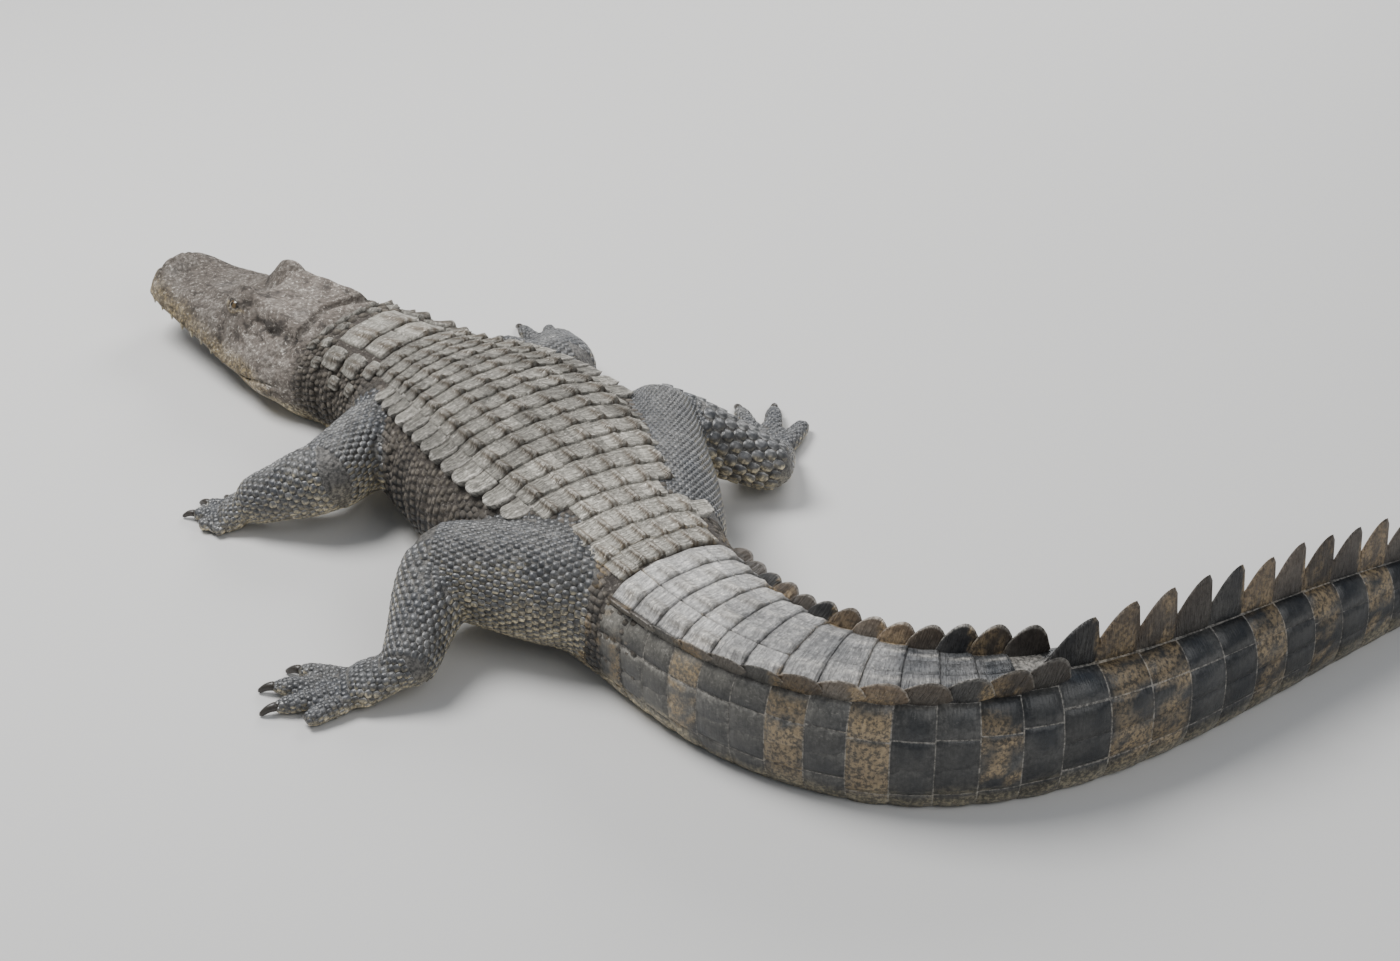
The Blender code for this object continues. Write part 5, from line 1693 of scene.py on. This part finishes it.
class ALLIGATOR_OT_tail_scales(bpy.types.Operator):
    """Lays the rings of scales round the tail"""

    bl_idname = "alligator.tail_scales"
    bl_label = "Tail scales"

    def execute(self, context):
        side, top = tail_sets()
        relief = (0.15, 520.0, 0.25, 0.4)
        material = hide_material("tail scale", hide_colours(), relief, 0.5, 0.7, 0.5, 0.15)
        finish_piece(joined("tail_scales", [side]), material, "tail_skin")
        # Keel here paints the keels of the first plates: their own colour with painted shade on their flanks.
        colours = hide_colours(Mud=(0.345, 0.333, 0.315), Keel=(0.170, 0.158, 0.140))
        material = hide_material("tail back", colours, (0.25, 420.0, 0.5, 0.5), 0.8, 1.0, 0.4, 0.35)
        finish_piece(joined("tail_back", [top]), material, "tail_skin")
        return {"FINISHED"}


class ALLIGATOR_OT_body_scales(bpy.types.Operator):
    """Lays the pebbles of the neck, the scales of the flanks and the plates of the belly"""

    bl_idname = "alligator.body_scales"
    bl_label = "Body scales"

    def execute(self, context):
        small, broad = field_sets()
        colours = hide_colours(Mud=(0.080, 0.068, 0.055), Rim=(0.20, 0.175, 0.14))
        material = hide_material("body scale", colours, (0.2, 700.0, 0.2, 0.5), 0.6, 0.8)
        finish_piece(joined("body_scales", small), material, "neck_skin")
        finish_piece(joined("belly_plates", broad), material, "neck_skin")
        return {"FINISHED"}


class ALLIGATOR_OT_limb_scales(bpy.types.Operator):
    """Seats the scales of the legs and toes on the skin"""

    bl_idname = "alligator.limb_scales"
    bl_label = "Limb scales"

    def execute(self, context):
        relief = (0.2, 800.0, 0.15, 0.4)
        colours = hide_colours(Dark=(0.030, 0.033, 0.040), Rim=(0.62, 0.61, 0.58))
        material = hide_material("limb scale", colours, relief, 0.45, 0.6, 0.7)
        for name in LIMBS:
            finish_piece(joined(f"scales_{name}", [limb_scales(name)], True), material, "limb_skin")
        colours = hide_colours(Mud=(0.095, 0.082, 0.068), Rim=(0.20, 0.18, 0.15))
        material = hide_material("join scale", colours, relief, 0.45, 0.6, 0.4)
        finish_piece(joined("scales_joins", [join_scales()]), material, "limb_skin")
        return {"FINISHED"}


class ALLIGATOR_OT_eyes(bpy.types.Operator):
    """Sets the two eyes between their lids"""

    bl_idname = "alligator.eyes"
    bl_label = "Eyes"

    def execute(self, context):
        material = eye_material()
        for label, sign in (("left", -1), ("right", 1)):
            thing = outward(make_object(f"eyeball_{label}", *eye_mesh(sign)))
            finish_piece(thing, material, "eye", f"eye_{label}")
        return {"FINISHED"}


class ALLIGATOR_OT_claws(bpy.types.Operator):
    """Adds the claws and the teeth that show"""

    bl_idname = "alligator.claws"
    bl_label = "Claws and teeth"

    def execute(self, context):
        claw = plain_material("claw", (0.050, 0.042, 0.034), 0.38, 0.5)
        tooth = plain_material("tooth", (0.55, 0.48, 0.33), 0.35, 0.5)
        finish_piece(joined_tubes("claws", claw_tubes()), claw, "limb_skin")
        finish_piece(joined_tubes("teeth", tooth_tubes()), tooth, "jaw_skin")
        return {"FINISHED"}


class ALLIGATOR_OT_stage(bpy.types.Operator):
    """Sets the floor, soft lights and the camera"""

    bl_idname = "alligator.stage"
    bl_label = "Stage"

    def execute(self, context):
        props = context.scene.alligator_stage
        ends = (-FLOOR_HALF, FLOOR_HALF)
        corners = [(x, y, FLOOR_HEIGHT) for x in ends for y in ends]
        floor = make_object("floor", corners, [np.array([[0, 2, 3, 1]])])
        surface, graph, shader = new_material("floor")
        graph.fill(shader, ("Base Color", (*props.floor, 1)), ("Roughness", 0.9))
        floor.data.materials.append(surface)
        world = bpy.data.worlds.new("soft sky")
        world.use_nodes = True
        sky = Graph(world.node_tree)
        sky.fill(world.node_tree.nodes["Background"], ("Color", (0.80, 0.88, 1.0, 1)), ("Strength", 0.30))
        context.scene.world = world
        for name, spot, size, share in LIGHTS:
            self.light(context, name, spot, size, props.light * share)
        self.camera(context)
        return {"FINISHED"}

    def light(self, context, name, spot, size, power):
        """A soft disc of light that faces the middle of the animal."""
        data = bpy.data.lights.new(name, "AREA")
        data.shape = "DISK"
        data.size = size
        data.energy = power
        lamp = bpy.data.objects.new(name, data)
        lamp.location = spot
        lamp.rotation_euler = (-Vector(spot)).to_track_quat("-Z", "Y").to_euler()
        context.scene.collection.objects.link(lamp)

    def camera(self, context):
        """The camera at the photo's angle."""
        data = bpy.data.cameras.new("camera")
        data.sensor_width = SENSOR_WIDTH
        data.lens = CAMERA_LENS
        view = bpy.data.objects.new("camera", data)
        view.location = CAMERA_PLACE
        view.rotation_euler = (math.radians(90 - CAMERA_DOWN), 0, 0)
        context.scene.collection.objects.link(view)
        context.scene.camera = view


class ALLIGATOR_PT_panel(bpy.types.Panel):
    """Sizes and colours, and the operators in the order in which they run"""

    bl_label = "Alligator"
    bl_space_type = "VIEW_3D"
    bl_region_type = "UI"
    bl_category = "Alligator"

    def draw(self, context):
        for name in PROPERTIES:
            props = getattr(context.scene, name)
            box = self.layout.box()
            for key in props.__annotations__:
                box.prop(props, key)
        for operator in OPERATORS:
            self.layout.operator(operator.bl_idname)


OPERATORS = (
    ALLIGATOR_OT_skin, ALLIGATOR_OT_neck_plates, ALLIGATOR_OT_trunk_scutes, ALLIGATOR_OT_crests,
    ALLIGATOR_OT_tail_scales, ALLIGATOR_OT_body_scales, ALLIGATOR_OT_limb_scales, ALLIGATOR_OT_eyes,
    ALLIGATOR_OT_claws, ALLIGATOR_OT_stage,
)
PROPERTIES = {
    "alligator_colours": ColourProps, "alligator_scutes": ScuteProps, "alligator_stage": StageProps,
}
CLASSES = (*PROPERTIES.values(), *OPERATORS, ALLIGATOR_PT_panel)


def register():
    """Registers the classes and the scene's properties."""
    for item in CLASSES:
        bpy.utils.register_class(item)
    for name, group in PROPERTIES.items():
        setattr(bpy.types.Scene, name, PointerProperty(type=group))


def unregister():
    """Takes away what register adds."""
    for name in PROPERTIES:
        delattr(bpy.types.Scene, name)
    for item in reversed(CLASSES):
        bpy.utils.unregister_class(item)


def main():
    """Builds every piece."""
    register()
    for operator in OPERATORS:
        family, name = operator.bl_idname.split(".")
        getattr(getattr(bpy.ops, family), name)()


if __name__ == "__main__":
    main()
